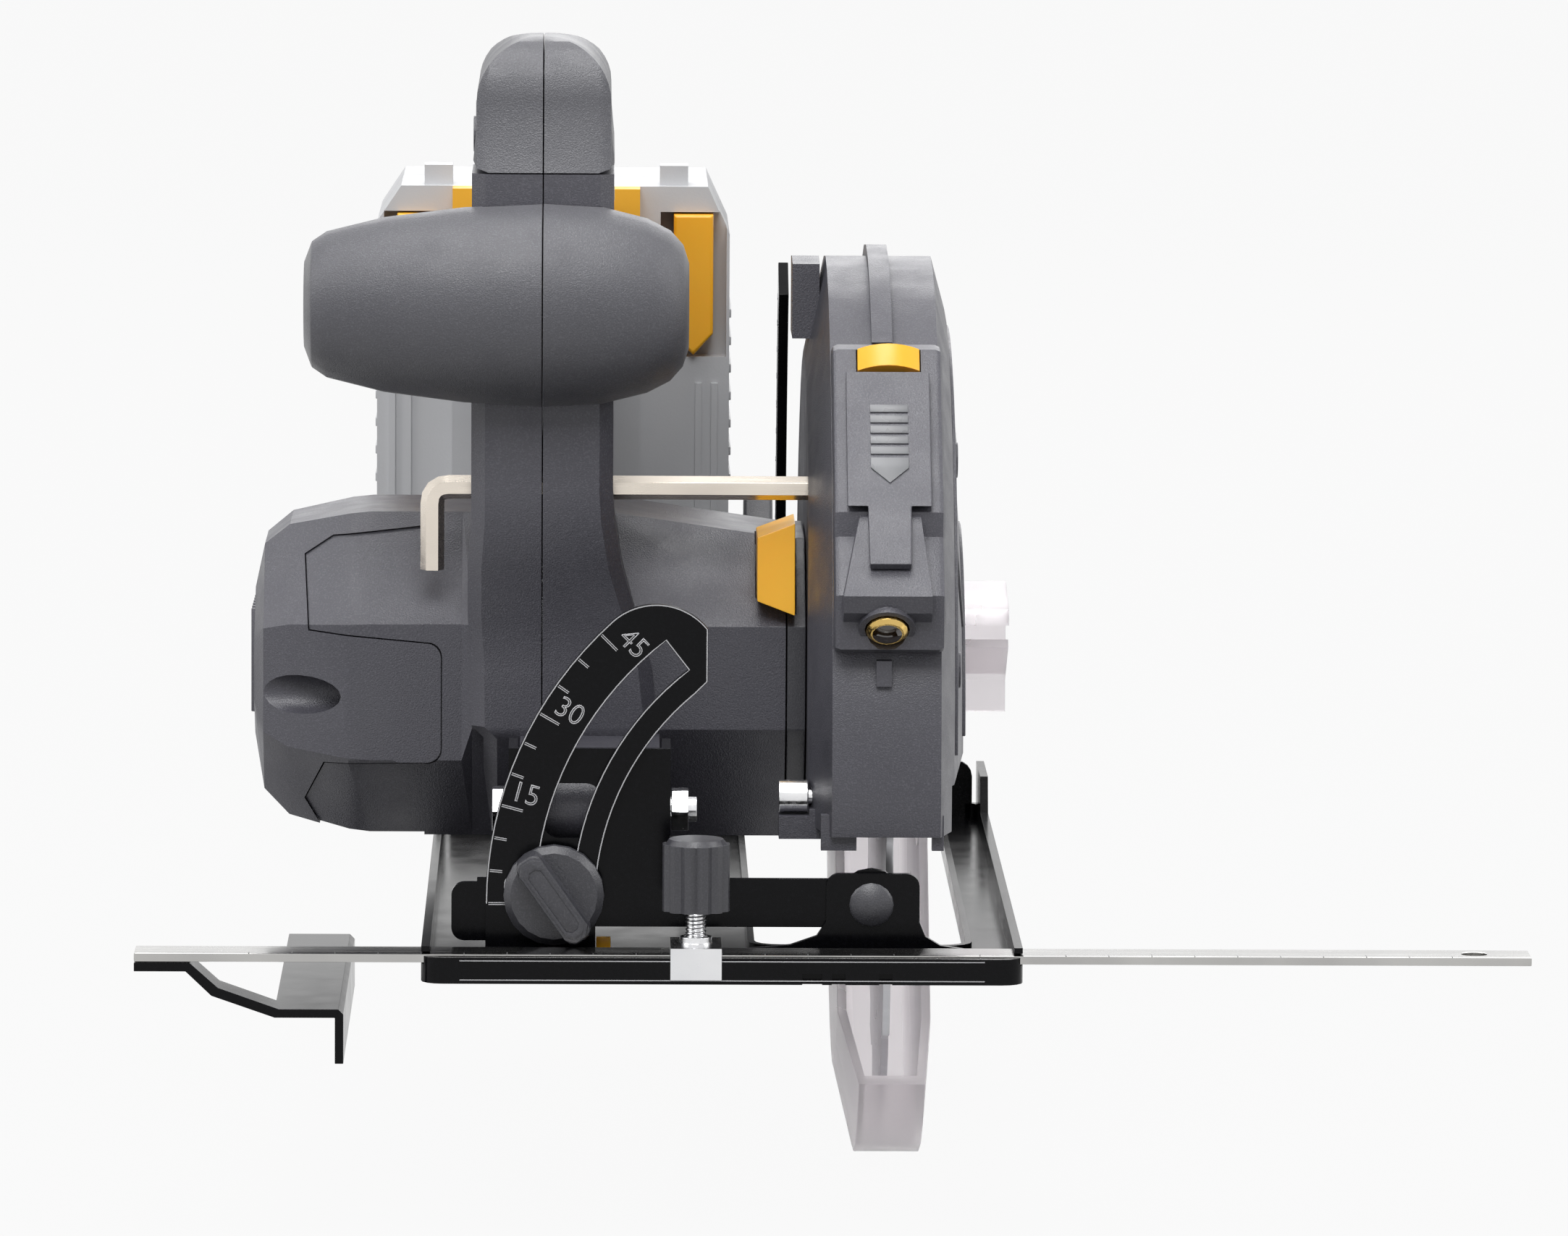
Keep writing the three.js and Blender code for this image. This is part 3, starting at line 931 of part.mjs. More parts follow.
// ---------------------------------------------------------------- laser guide on the guard's front
// Its side profile is drawn in (Y from the front edge, Z); the guard's own round is cut from its back.
const slope = { topY: 76, topZ: 136, lowY: 34.6, lowZ: 94.6, sheet: 2.1 };
const slopeNormal = [-Math.SQRT1_2, Math.SQRT1_2];
const onSlope = (y, z, lift) => [y + slopeNormal[0] * lift, z + slopeNormal[1] * lift];
const slopeDrop = slope.sheet + clearance;
const laserX = 38.7;
const lens = { y: 36.2, z: 79.8, tilt: -45, radius: 5 };
const laserButton = { x: 39.75, y: 81.2, z: 137.8, half: 7.4, depth: 3.4 };
const tongue = { left: 34.3, right: 44.6, taper: 1, top: 106.9 };
const nose = { left: 28.4, right: 49.2, taper: 4, top: 104.5, tipY: 30.8, tipZ: 87.4 };

function coverBody(gap, lift) {
  const side = polygon([onSlope(slope.topY + gap, slope.topZ + gap, lift), onSlope(slope.lowY, slope.lowZ, lift),
    onSlope(slope.lowY, slope.lowZ, -slope.sheet - gap), onSlope(slope.topY + gap, slope.topZ + gap, -slope.sheet - gap)]);
  const { left, right, taper, top } = tongue;
  const [faceLeft, faceRight] = [laser.coverLeft - gap, laser.coverRight + gap];
  const front = polygon([[faceLeft, 160], [faceLeft, top - gap], [left - gap, top - gap], [left + taper - gap, 60],
    [right - taper + gap, 60], [right + gap, top - gap], [faceRight, top - gap], [faceRight, 160]]);
  return moved(alongX(side, faceLeft - 1, faceRight + 1).intersect(alongY(front, 0, 120)), 0, onBody(0), 0);
}

// A lower ledge either side of the nose; the battery cover's tongue lies on the nose.
function laserHousing() {
  const { left, right } = laser;
  const { taper, top, tipY, tipZ } = nose;
  const ledge = -slopeDrop - 4;
  const outline = polygon([[98, 130], [91, 141], [83.9, 140.5], onSlope(slope.topY, slope.topZ, -slopeDrop),
    onSlope(47, 107, -slopeDrop), onSlope(44, 104, ledge), onSlope(31.5, 91.5, ledge), [37.5, 74], [48, 71.5],
    [62, 90]]);
  const body = alongX(outline, left, right, 4, 1.6);
  const noseSide = polygon([onSlope(46, 106, -slopeDrop), [tipY, tipZ], [tipY + 1.6, tipZ - 4.2],
    [tipY + 8, tipZ - 8], [56, 88], [60, 112]]);
  const noseFront = polygon([[nose.left, 70], [nose.right, 70], [nose.right, tipZ], [nose.right - taper * 0.6, top],
    [nose.left + taper, top], [nose.left, tipZ]]);
  const noseBody = alongX(noseSide, nose.left - 1, nose.right + 1).intersect(alongY(noseFront, 0, 120));
  const lensBoss = moved(turnedZ([[-1.2, 0], [-1.2, lens.radius + 1.7], [12, lens.radius + 1.7], [12, 0]])
    .rotate([lens.tilt, 0, 0]), laserX, lens.y, lens.z);
  const shell = moved(join(body, noseBody, lensBoss), 0, onBody(0), 0);
  const guardRound = moved(rod(0, 80, guard.outer + clearance, 64), 0, spindleY, spindleAxis.z);
  const lensHole = turnedZ([[-20, 0], [-20, lens.radius + clearance], [30, lens.radius + clearance], [30, 0]], 16);
  const { x, y, z, half: halfWidth, depth: deep } = laserButton;
  const buttonRoom = box(-halfWidth - clearance, halfWidth + clearance, -deep - clearance, deep + clearance, -4.3, 10);
  return cut(shell, guardRound, coverBody(clearance, 9),
    moved(lensHole.rotate([lens.tilt, 0, 0]), laserX, onBody(lens.y), lens.z),
    moved(buttonRoom.rotate([45, 0, 0]), x, onBody(y), z));
}
piece('laser_housing', laserHousing(), finish.darkPlastic, root);

const barrel = turnedZ([[-2.6, 2.4], [-2.6, 4], [-1.8, lens.radius], [10.5, lens.radius], [10.5, 0], [0.6, 0],
  [0.6, 2.4]], 16);
piece('laser_module', moved(barrel.rotate([lens.tilt, 0, 0]), laserX, onBody(lens.y), lens.z),
  finish.brass, root);
piece('laser_battery_cover', coverBody(0, 0), finish.darkPlastic, root);

function laserSwitch() {
  const { x, y, z, half: halfWidth, depth: deep } = laserButton;
  const shape = new THREE.Shape();
  shape.moveTo(-halfWidth, -2).lineTo(halfWidth, -2).lineTo(halfWidth, 0.8);
  shape.quadraticCurveTo(0, 5, -halfWidth, 0.8);
  return moved(alongY(shape, -deep, deep, 8).rotate([45, 0, 0]), x, onBody(y), z);
}
piece('laser_switch', laserSwitch(), finish.amber, root);

// ---------------------------------------------------------------- battery and its dock
piece('terminal_block', box(handleMiddle - 12.5, handleMiddle + 12.5, dockFace - 5, dockFace + 4, 98, 132),
  finish.darkPlastic, root);

function packOutline(inset = 0) {
  const { left, right, bottom, top } = battery;
  return polygon([[left + inset, bottom + 6 + inset], [left + 6, bottom + inset], [right - 6, bottom + inset],
    [right - inset, bottom + 6 + inset], [right - inset, top - 12], [right - 5.5, top - inset],
    [left + 6, top - inset], [left + inset, top - 9]]);
}
const packSplit = (battery.front + battery.back) / 2;
const cell = { radius: 9.1, rows: 5, pitch: 17.9, layer: 17.6, left: -73, right: -8, behindDock: 21, low: 81.2 };
const cellReach = cell.radius + clearance;
const firstLayer = battery.front + cell.behindDock;
const layers = 1 + Math.floor((battery.back - 2.5 - cellReach - firstLayer) / cell.layer);
const cellRoom = {
  x0: cell.left - clearance, x1: cell.right + clearance, y0: firstLayer - cellReach,
  y1: firstLayer + (layers - 1) * cell.layer + cellReach, z0: cell.low - cellReach,
  z1: cell.low + (cell.rows - 1) * cell.pitch + cellReach,
};
function packFront() {
  const { front, left, right, top, bottom } = battery;
  const face = onBody(front);
  const shell = alongY(packOutline(), face, onBody(packSplit));
  const room = box(cellRoom.x0, cellRoom.x1, onBody(cellRoom.y0), onBody(packSplit) + 1, cellRoom.z0, cellRoom.z1);
  const terminalSlot = box(handleMiddle - 13.1, handleMiddle + 13.1, face - 1, dockFace + 4.6, bottom - 1, 133);
  const latchRooms = [latchX.left, latchX.right].map((x) =>
    box(x - 8.3, x + 8.3, face - 1, face + 7.6, 124.6, 161.1));
  const tabs = [-73.2, -14].map((x) => box(x, x + 7.1, face + 3, face + 12, top - 4, top + 5));
  const hookY = dockFace - rail.hookFrom - rail.hookThick + 0.1;
  const railAt = (wallX0, wallX1, hookX0, hookX1) => join(box(wallX0, wallX1, face - rail.depth, face + 1, 77, top),
    box(hookX0, hookX1, hookY, hookY + rail.hookThick - 0.2, 77, top - 3));
  const [outLeft, outRight] = [handle.left - 7.4, handle.right + 7.4];
  const rails = [railAt(outLeft, outLeft + 6.4, outLeft + 1, handle.left + rail.hook - clearance),
    railAt(outRight - 6.4, outRight, handle.right - rail.hook + clearance, outRight - 1)];
  const sideRibs = [left + 3, left + 7, right - 4.5, right - 8.5].map((x) =>
    box(x, x + 1.6, face - 0.9, face + 1, bottom + 4, 118));
  return cut(join(shell, ...tabs, ...rails, ...sideRibs), room, terminalSlot, ...latchRooms);
}
const packSlide = groupAt(0, 0, 0);
piece('battery_case_front', packFront(), finish.batteryGrey, packSlide);
function packBack() {
  const shell = alongY(packOutline(), onBody(packSplit) + clearance, onBody(battery.back), 3, 2.5);
  const room = box(cellRoom.x0, cellRoom.x1, onBody(packSplit) - 1, onBody(cellRoom.y1), cellRoom.z0, cellRoom.z1);
  return cut(shell, room);
}
piece('battery_case_back', packBack(), finish.batteryGrey, packSlide);

function cells() {
  const { radius, rows, pitch, layer, left, right, low } = cell;
  const lastLayer = firstLayer + (layers - 1) * layer;
  const bodies = [];
  for (let row = 0; row < rows; row += 1) {
    for (let depthward = firstLayer; depthward <= lastLayer + 0.1; depthward += layer) {
      bodies.push(moved(rod(left, right, radius, 8), 0, onBody(depthward), low + row * pitch));
    }
  }
  return join(...bodies);
}
piece('battery_cells', cells(), finish.copper, packSlide);

['left', 'right'].forEach((side) => {
  const direction = side === 'left' ? -1 : 1;
  const face = onBody(battery.front);
  const shape = polygon([[-5 * direction, 0], [5 * direction, 0], [5 * direction, -30], [0, -35.5], [-5 * direction, -30]]);
  const body = alongY(shape, face - 2.6, face + 7, 3, 0.8);
  piece(`battery_latch_${side}`, body, finish.amber, groupAt(latchX[side], 0, 160.6));
});

export default saw;
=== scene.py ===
"""Looks of the cordless circular saw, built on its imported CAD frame.

Places on the saw are in millimetres in the CAD's frame: X to the right, Y to the back and Z up.
"""
import json
import math

import bmesh
import bpy
from mathutils import Matrix, Vector


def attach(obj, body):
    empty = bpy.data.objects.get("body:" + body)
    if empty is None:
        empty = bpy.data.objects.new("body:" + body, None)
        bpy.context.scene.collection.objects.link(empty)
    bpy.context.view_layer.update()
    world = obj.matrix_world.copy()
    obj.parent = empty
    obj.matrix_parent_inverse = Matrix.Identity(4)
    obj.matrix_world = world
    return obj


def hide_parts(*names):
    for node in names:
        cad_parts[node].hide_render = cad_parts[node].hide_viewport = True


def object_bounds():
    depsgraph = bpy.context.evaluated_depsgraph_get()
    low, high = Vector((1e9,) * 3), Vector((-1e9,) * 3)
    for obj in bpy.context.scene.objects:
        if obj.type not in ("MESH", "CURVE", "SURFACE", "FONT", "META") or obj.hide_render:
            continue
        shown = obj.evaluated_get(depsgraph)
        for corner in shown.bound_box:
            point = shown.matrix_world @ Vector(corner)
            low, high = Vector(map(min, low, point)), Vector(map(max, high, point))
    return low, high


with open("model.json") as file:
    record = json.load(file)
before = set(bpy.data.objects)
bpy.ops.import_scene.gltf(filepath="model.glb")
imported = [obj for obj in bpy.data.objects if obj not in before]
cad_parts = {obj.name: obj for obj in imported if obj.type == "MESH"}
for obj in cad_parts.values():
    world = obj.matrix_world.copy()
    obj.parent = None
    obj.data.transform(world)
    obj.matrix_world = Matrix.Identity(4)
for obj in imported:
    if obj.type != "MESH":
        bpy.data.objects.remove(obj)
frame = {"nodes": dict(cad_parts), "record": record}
CAD_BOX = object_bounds()
MM = 0.001
RIGHT, LEFT, BACK, FORWARD, UP = (1, 0, 0), (-1, 0, 0), (0, 1, 0), (0, -1, 0), (0, 0, 1)
FRONT = -136  # front edge of the base plate
TILT_AXIS = (35.2, 15.1)  # (x, z) of the bevel's pivot
GUARD_AXIS = (19, 41.3)  # (y, z) of the blade and both guards


# ------------------------------------------------------------ camera, floor and light
def aim_camera():
    """Long lens in front of the saw, a little above it and turned slightly towards the blade."""
    eye = Vector((-0.0295, -2.6573, 0.3859))
    pitch, yaw, roll = (math.radians(angle) for angle in (6.785, 0.985, 0.345))
    ahead = Vector((math.sin(yaw) * math.cos(pitch), math.cos(yaw) * math.cos(pitch), -math.sin(pitch)))
    level = Vector((math.cos(yaw), -math.sin(yaw), 0))
    above = level.cross(ahead)
    right = level * math.cos(roll) + above * math.sin(roll)
    up = above * math.cos(roll) - level * math.sin(roll)
    data = bpy.data.cameras.new("camera")
    data.lens = 252
    data.sensor_width = 36
    data.clip_end = 100
    camera = bpy.data.objects.new("camera", data)
    camera.matrix_world = Matrix.Translation(eye) @ Matrix((right, up, -ahead)).transposed().to_4x4()
    bpy.context.scene.collection.objects.link(camera)
    bpy.context.scene.camera = camera


def seen_factor(nodes, links):
    """1 for what the camera sees directly, mirrored or through clear plastic."""
    path = nodes.new("ShaderNodeLightPath")
    first = nodes.new("ShaderNodeMath")
    first.operation = "MAXIMUM"
    links.new(path.outputs["Is Camera Ray"], first.inputs[0])
    links.new(path.outputs["Is Glossy Ray"], first.inputs[1])
    both = nodes.new("ShaderNodeMath")
    both.operation = "MAXIMUM"
    links.new(first.outputs[0], both.inputs[0])
    links.new(path.outputs["Is Transmission Ray"], both.inputs[1])
    return both.outputs[0]


def make_floor():
    """A matte floor just under the saw that takes its shadow and is nearly white where it is seen."""
    half, gap, white_share = 40, 0.0003, 0.94
    height = CAD_BOX[0][2] - gap
    mesh = bpy.data.meshes.new("floor")
    corners = [(-half, -half, height), (half, -half, height), (half, half, height), (-half, half, height)]
    mesh.from_pydata(corners, [], [(0, 1, 2, 3)])
    floor = bpy.data.objects.new("floor", mesh)
    bpy.context.scene.collection.objects.link(floor)
    material = bpy.data.materials.new("pale_floor")
    material.use_nodes = True
    nodes, links = material.node_tree.nodes, material.node_tree.links
    nodes.clear()
    matte = nodes.new("ShaderNodeBsdfDiffuse")
    matte.inputs["Color"].default_value = (0.2, 0.2, 0.2, 1)
    glow = nodes.new("ShaderNodeEmission")
    glow.inputs["Strength"].default_value = 1.0
    blend = nodes.new("ShaderNodeMixShader")
    scale = nodes.new("ShaderNodeMath")
    scale.operation = "MULTIPLY"
    scale.inputs[1].default_value = white_share
    links.new(seen_factor(nodes, links), scale.inputs[0])
    links.new(scale.outputs[0], blend.inputs[0])
    links.new(matte.outputs[0], blend.inputs[1])
    links.new(glow.outputs[0], blend.inputs[2])
    links.new(blend.outputs[0], nodes.new("ShaderNodeOutputMaterial").inputs["Surface"])
    mesh.materials.append(material)


def light_world(strength):
    """Even light from all round, and plain white where the world itself is seen."""
    world = bpy.data.worlds.new("studio")
    bpy.context.scene.world = world
    world.use_nodes = True
    nodes, links = world.node_tree.nodes, world.node_tree.links
    nodes.clear()
    room = nodes.new("ShaderNodeBackground")
    room.inputs["Color"].default_value = (1, 1, 1, 1)
    room.inputs["Strength"].default_value = strength
    backdrop = nodes.new("ShaderNodeBackground")
    backdrop.inputs["Color"].default_value = (1, 1, 1, 1)
    backdrop.inputs["Strength"].default_value = 1.0
    blend = nodes.new("ShaderNodeMixShader")
    links.new(seen_factor(nodes, links), blend.inputs[0])
    links.new(room.outputs[0], blend.inputs[1])
    links.new(backdrop.outputs[0], blend.inputs[2])
    links.new(blend.outputs[0], nodes.new("ShaderNodeOutputWorld").inputs["Surface"])


def softbox(name, place, size, power):
    """An area lamp in metres and watts, aimed at the middle of the saw."""
    aim = Vector((0, 0, 0.08))
    data = bpy.data.lights.new(name, "AREA")
    data.shape = "RECTANGLE"
    data.size, data.size_y = size
    data.energy = power
    lamp = bpy.data.objects.new(name, data)
    lamp.location = place
    lamp.rotation_euler = (aim - Vector(place)).to_track_quat("-Z", "Y").to_euler()
    bpy.context.scene.collection.objects.link(lamp)


def light_studio():
    light_world(0.2)
    softbox("top", (-0.1, -0.1, 1.7), (0.9, 0.7), 12)
    softbox("front_top", (-0.15, -1.2, 1.45), (1.1, 0.8), 19)
    softbox("left", (-1.6, -0.5, 1.1), (0.8, 1.2), 11)
    softbox("right", (1.7, -0.3, 1.1), (0.8, 1.2), 11)
    softbox("back", (0.3, 2.2, 1.2), (1.4, 1.0), 13)


# ------------------------------------------------------------ materials
class Surface:
    """A procedural material: a Principled shader fed by patterns laid out in millimetres."""

    def __init__(self, name, colour, roughness, metallic=0.0):
        self.material = bpy.data.materials.new(name)
        self.material.use_nodes = True
        self.nodes = self.material.node_tree.nodes
        self.links = self.material.node_tree.links
        self.shader = self.nodes["Principled BSDF"]
        self.colour = colour
        self.shader.inputs["Base Color"].default_value = (*colour, 1)
        self.shader.inputs["Roughness"].default_value = roughness
        self.shader.inputs["Metallic"].default_value = metallic
        place = self.nodes.new("ShaderNodeTexCoord")
        self.place = place.outputs["Object"]

    def noise(self, size, stretch=(1, 1, 1), detail=3.0):
        """Noise whose blobs are about size mm across, longer along an axis where stretch is small."""
        mapping = self.nodes.new("ShaderNodeMapping")
        mapping.inputs["Scale"].default_value = [1000 / size * amount for amount in stretch]
        self.links.new(self.place, mapping.inputs["Vector"])
        noise = self.nodes.new("ShaderNodeTexNoise")
        noise.inputs["Scale"].default_value = 1
        noise.inputs["Detail"].default_value = detail
        self.links.new(mapping.outputs[0], noise.inputs["Vector"])
        return noise.outputs["Fac"]

    def rings(self, centre, size):
        """Noise in fine rings about an axis along X through centre (y, z), in millimetres."""
        offset = self.nodes.new("ShaderNodeVectorMath")
        offset.operation = "SUBTRACT"
        offset.inputs[1].default_value = (0, centre[0] * MM, centre[1] * MM)
        self.links.new(self.place, offset.inputs[0])
        flat = self.nodes.new("ShaderNodeVectorMath")
        flat.operation = "MULTIPLY"
        flat.inputs[1].default_value = (0, 1, 1)
        self.links.new(offset.outputs[0], flat.inputs[0])
        reach = self.nodes.new("ShaderNodeVectorMath")
        reach.operation = "LENGTH"
        self.links.new(flat.outputs[0], reach.inputs[0])
        noise = self.nodes.new("ShaderNodeTexNoise")
        noise.noise_dimensions = "1D"
        noise.inputs["Scale"].default_value = 1000 / size
        noise.inputs["Detail"].default_value = 4
        self.links.new(reach.outputs["Value"], noise.inputs["W"])
        return noise.outputs["Fac"]

    def spread(self, value, low, high, start=0.3, end=0.7):
        """Maps a pattern from start..end to low..high."""
        ramp = self.nodes.new("ShaderNodeMapRange")
        for slot, number in zip(("From Min", "From Max", "To Min", "To Max"), (start, end, low, high)):
            ramp.inputs[slot].default_value = number
        self.links.new(value, ramp.inputs["Value"])
        return ramp.outputs[0]

    def vary_roughness(self, value, low, high):
        self.links.new(self.spread(value, low, high), self.shader.inputs["Roughness"])

    def vary_colour(self, value, other, start=0.35, end=0.7):
        """Blends from the colour so far to another as a pattern goes from start to end."""
        mix = self.nodes.new("ShaderNodeMix")
        mix.data_type = "RGBA"
        base = self.shader.inputs["Base Color"]
        if base.is_linked:
            self.links.new(base.links[0].from_socket, mix.inputs["A"])
        else:
            mix.inputs["A"].default_value = (*self.colour, 1)
        mix.inputs["B"].default_value = (*other, 1)
        self.links.new(self.spread(value, 0, 1, start, end), mix.inputs["Factor"])
        self.links.new(mix.outputs["Result"], base)

    def bump(self, value, height):
        bump = self.nodes.new("ShaderNodeBump")
        bump.inputs["Strength"].default_value = 1
        bump.inputs["Distance"].default_value = height * MM
        self.links.new(value, bump.inputs["Height"])
        self.links.new(bump.outputs[0], self.shader.inputs["Normal"])

    def where(self, axis, low, high):
        """1 between two places along an axis, in millimetres, and 0 outside them."""
        soft = 0.05
        apart = self.nodes.new("ShaderNodeSeparateXYZ")
        self.links.new(self.place, apart.inputs[0])
        rise = self.spread(apart.outputs[axis], 0, 1, (low - soft) * MM, low * MM)
        fall = self.spread(apart.outputs[axis], 1, 0, high * MM, (high + soft) * MM)
        return self.combine("MULTIPLY", rise, fall)

    def combine(self, operation, *values):
        """Patterns multiplied (MULTIPLY) or added (ADD) one after another."""
        result = values[0]
        for value in values[1:]:
            step = self.nodes.new("ShaderNodeMath")
            step.operation = operation
            self.links.new(result, step.inputs[0])
            self.links.new(value, step.inputs[1])
            result = step.outputs[0]
        return result

    def set(self, **values):
        for name, value in values.items():
            self.shader.inputs[name.replace("_", " ")].default_value = value


def moulded(name, colour, lighter, roughness, grain=0.5, height=0.05, speck=0.0):
    """Moulded plastic with a fine sparked texture, faint mottling and, where asked, lighter specks."""
    surface = Surface(name, colour, roughness)
    surface.vary_colour(surface.noise(38, detail=2), lighter)
    if speck:
        brighter = [share * (1 + speck) for share in lighter]
        surface.vary_colour(surface.noise(grain * 1.2, detail=1), brighter, 0.5, 0.68)
    surface.vary_roughness(surface.noise(9), roughness - 0.06, roughness + 0.07)
    surface.bump(surface.noise(grain, detail=1), height)
    return surface


def metal(name, colour, other, roughness, stretch=(1, 1, 1), grain=1.2, height=0.012):
    """Metal with fine brush marks, longer along an axis where stretch is small."""
    surface = Surface(name, colour, roughness, 1.0)
    surface.vary_colour(surface.noise(22), other)
    brushed = surface.noise(grain, stretch, 4)
    surface.vary_roughness(brushed, roughness * 0.7, roughness * 1.4)
    surface.bump(brushed, height)
    return surface


def tool_plastics():
    """The charcoal plastics and rubber, all lightly specked, and the amber plastic."""
    made = {
        "plastic": moulded("charcoal_plastic", (0.066, 0.065, 0.080), (0.078, 0.077, 0.092), 0.40,
                           grain=0.34, height=0.10, speck=0.3),
        "handle_plastic": moulded("handle_plastic", (0.082, 0.082, 0.094), (0.096, 0.096, 0.107), 0.42,
                                  grain=0.34, height=0.10, speck=0.3),
        "dark_plastic": moulded("dark_plastic", (0.040, 0.040, 0.048), (0.050, 0.050, 0.058), 0.36,
                                grain=0.34, height=0.06, speck=0.3),
        "grip_rubber": moulded("grip_rubber", (0.076, 0.076, 0.088), (0.090, 0.090, 0.102), 0.46,
                               grain=0.32, height=0.10, speck=0.3),
    }
    for surface in made.values():
        surface.set(Specular_IOR_Level=0.6)
    made["grip_rubber"].set(Sheen_Weight=0.15, Sheen_Roughness=0.5)
    amber = moulded("amber_plastic", (1.0, 0.47, 0.022), (1.0, 0.53, 0.035), 0.34, grain=0.8, height=0.012)
    amber.set(Subsurface_Weight=0.12, Subsurface_Scale=0.002)
    made["amber_plastic"] = amber
    return made


def battery_plastic():
    """Pale grey, turning amber on the pack's two dock rails."""
    pack = moulded("battery_plastic", (0.56, 0.565, 0.58), (0.60, 0.605, 0.62), 0.42, grain=0.6, height=0.02)
    pack.set(Specular_IOR_Level=0.2)
    either = pack.combine("ADD", pack.where("X", -66.3, -58.7), pack.where("X", -26.3, -18.7))
    rails = pack.combine("MULTIPLY", either, pack.where("Y", 80, 94.9), pack.where("Z", 150, 230))
    pack.vary_colour(rails, (1.0, 0.50, 0.05), 0, 1)
    return pack


def black_paint():
    paint = Surface("black_paint", (0.0028, 0.0028, 0.0036), 0.2)
    paint.vary_colour(paint.noise(0.9, detail=2), (0.0048, 0.0048, 0.0062), 0.5, 0.75)
    paint.vary_roughness(paint.noise(9), 0.15, 0.20)
    paint.bump(paint.noise(1.6, detail=1), 0.006)
    paint.set(Specular_IOR_Level=0.13)
    return paint


def paint_edge():
    """Painted highlight: a brighter turn of the paint over an edge, standing in for the glint along it."""
    rim = Surface("paint_edge", (0.12, 0.12, 0.124), 0.2)
    rim.vary_colour(rim.noise(1.4), (0.30, 0.30, 0.305), 0.4, 0.65)
    rim.vary_roughness(rim.noise(4), 0.14, 0.3)
    return rim


def blade_steel():
    """Ground steel with rings about the blade's axis."""
    blade = Surface("blade_steel", (0.46, 0.46, 0.48), 0.3, 1.0)
    rings = blade.rings(GUARD_AXIS, 0.8)
    blade.vary_colour(rings, (0.43, 0.43, 0.45), 0.3, 0.7)
    blade.vary_roughness(rings, 0.27, 0.33)
    return blade


def clear_plastic():
    clear = Surface("clear_plastic", (0.93, 0.895, 0.915), 0.30)
    clear.vary_colour(clear.noise(60), (0.945, 0.915, 0.93))
    clear.vary_roughness(clear.noise(40), 0.27, 0.33)
    clear.set(Transmission_Weight=0.74, IOR=1.12)
    return clear


def lens_glass():
    lens = Surface("lens_glass", (0.030, 0.016, 0.006), 0.05)
    lens.vary_roughness(lens.noise(3), 0.03, 0.09)
    lens.set(Coat_Weight=1.0, Coat_Roughness=0.03)
    return lens


def make_materials():
    """Every finish by name: the record's material slots, and the finishes that only the looks need."""
    made = {
        **tool_plastics(),
        "battery_plastic": battery_plastic(),
        "black_steel": black_paint(),
        "paint_edge": paint_edge(),
        "blade_steel": blade_steel(),
        "clear_plastic": clear_plastic(),
        "lens_glass": lens_glass(),
        "nickel": metal("nickel", (0.80, 0.73, 0.64), (0.66, 0.60, 0.53), 0.26,
                        stretch=(0.05, 1, 1), grain=1.6, height=0.003),
        "dark_chrome": metal("dark_chrome", (0.50, 0.495, 0.48), (0.42, 0.415, 0.405), 0.14,
                             stretch=(0.03, 1, 1), height=0.003),
        "steel": metal("steel", (0.50, 0.50, 0.52), (0.42, 0.42, 0.44), 0.30, height=0.003),
        "zinc": metal("zinc", (0.80, 0.80, 0.81), (0.68, 0.69, 0.71), 0.20),
        "brass": metal("brass", (0.78, 0.55, 0.20), (0.62, 0.42, 0.13), 0.22),
        "winding": metal("winding", (0.55, 0.25, 0.12), (0.35, 0.33, 0.32), 0.38),
        "cell_wrap": moulded("cell_wrap", (0.10, 0.22, 0.42), (0.12, 0.25, 0.46), 0.4),
        # light lines: printed marks on the depth guide, and painted highlights along the quadrant's and
        # base's edges and embossed marks
        "print_and_edge_highlight": moulded("print_and_edge_highlight", (0.56, 0.56, 0.58), (0.66, 0.66, 0.68), 0.34,
                               grain=0.4, height=0.01),
        # lighter than the charcoal plastic it is moulded in: painted sheen of smooth raised marks
        "relief_with_painted_sheen": moulded("relief_with_painted_sheen", (0.165, 0.168, 0.178), (0.20, 0.205, 0.215), 0.30,
                                 grain=1.5, height=0.012),
        # dark marks: ticks on the base and fence bar, and painted shade in the motor's vent slots
        "dark_mark_and_shade": moulded("dark_mark_and_shade", (0.085, 0.085, 0.088), (0.12, 0.12, 0.124), 0.4,
                            grain=0.4, height=0.01),
    }
    return {name: surface.material for name, surface in made.items()}


# ------------------------------------------------------------ rounded copies of the CAD pieces
RECORD = frame["record"]
SLOT_OF = {part["node"]: part["material_slot"] for part in RECORD["subparts"]}
BODY_OF = {node: body for body, nodes in RECORD["behaviour"]["bodies"].items() for node in nodes}
MATERIALS = make_materials()
EDGE = {"plastic": 0.6, "dark_plastic": 0.4, "zinc": 0.25}  # how far hard edges are eased, by slot
OTHER_EDGES = 0.3
CREASE = math.radians(26)
OWN_FINISH = {  # nodes that look unlike the rest of their slot
    "rip_fence_bar": "dark_chrome", "handle_left": "handle_plastic", "handle_right": "handle_plastic",
    "laser_housing": "plastic", "laser_battery_cover": "plastic", "saw_blade": "blade_steel"}
OWN_SHAPE = ("fence_clamp_screw",)  # nodes that a piece made here replaces


def shade_smooth(form, crease):
    """Smooth faces, with the edges left sharp that turn by more than crease."""
    for face in form.faces:
        face.smooth = True
    for join in form.edges:
        join.smooth = not (len(join.link_faces) == 2 and join.calc_face_angle(0) > crease)


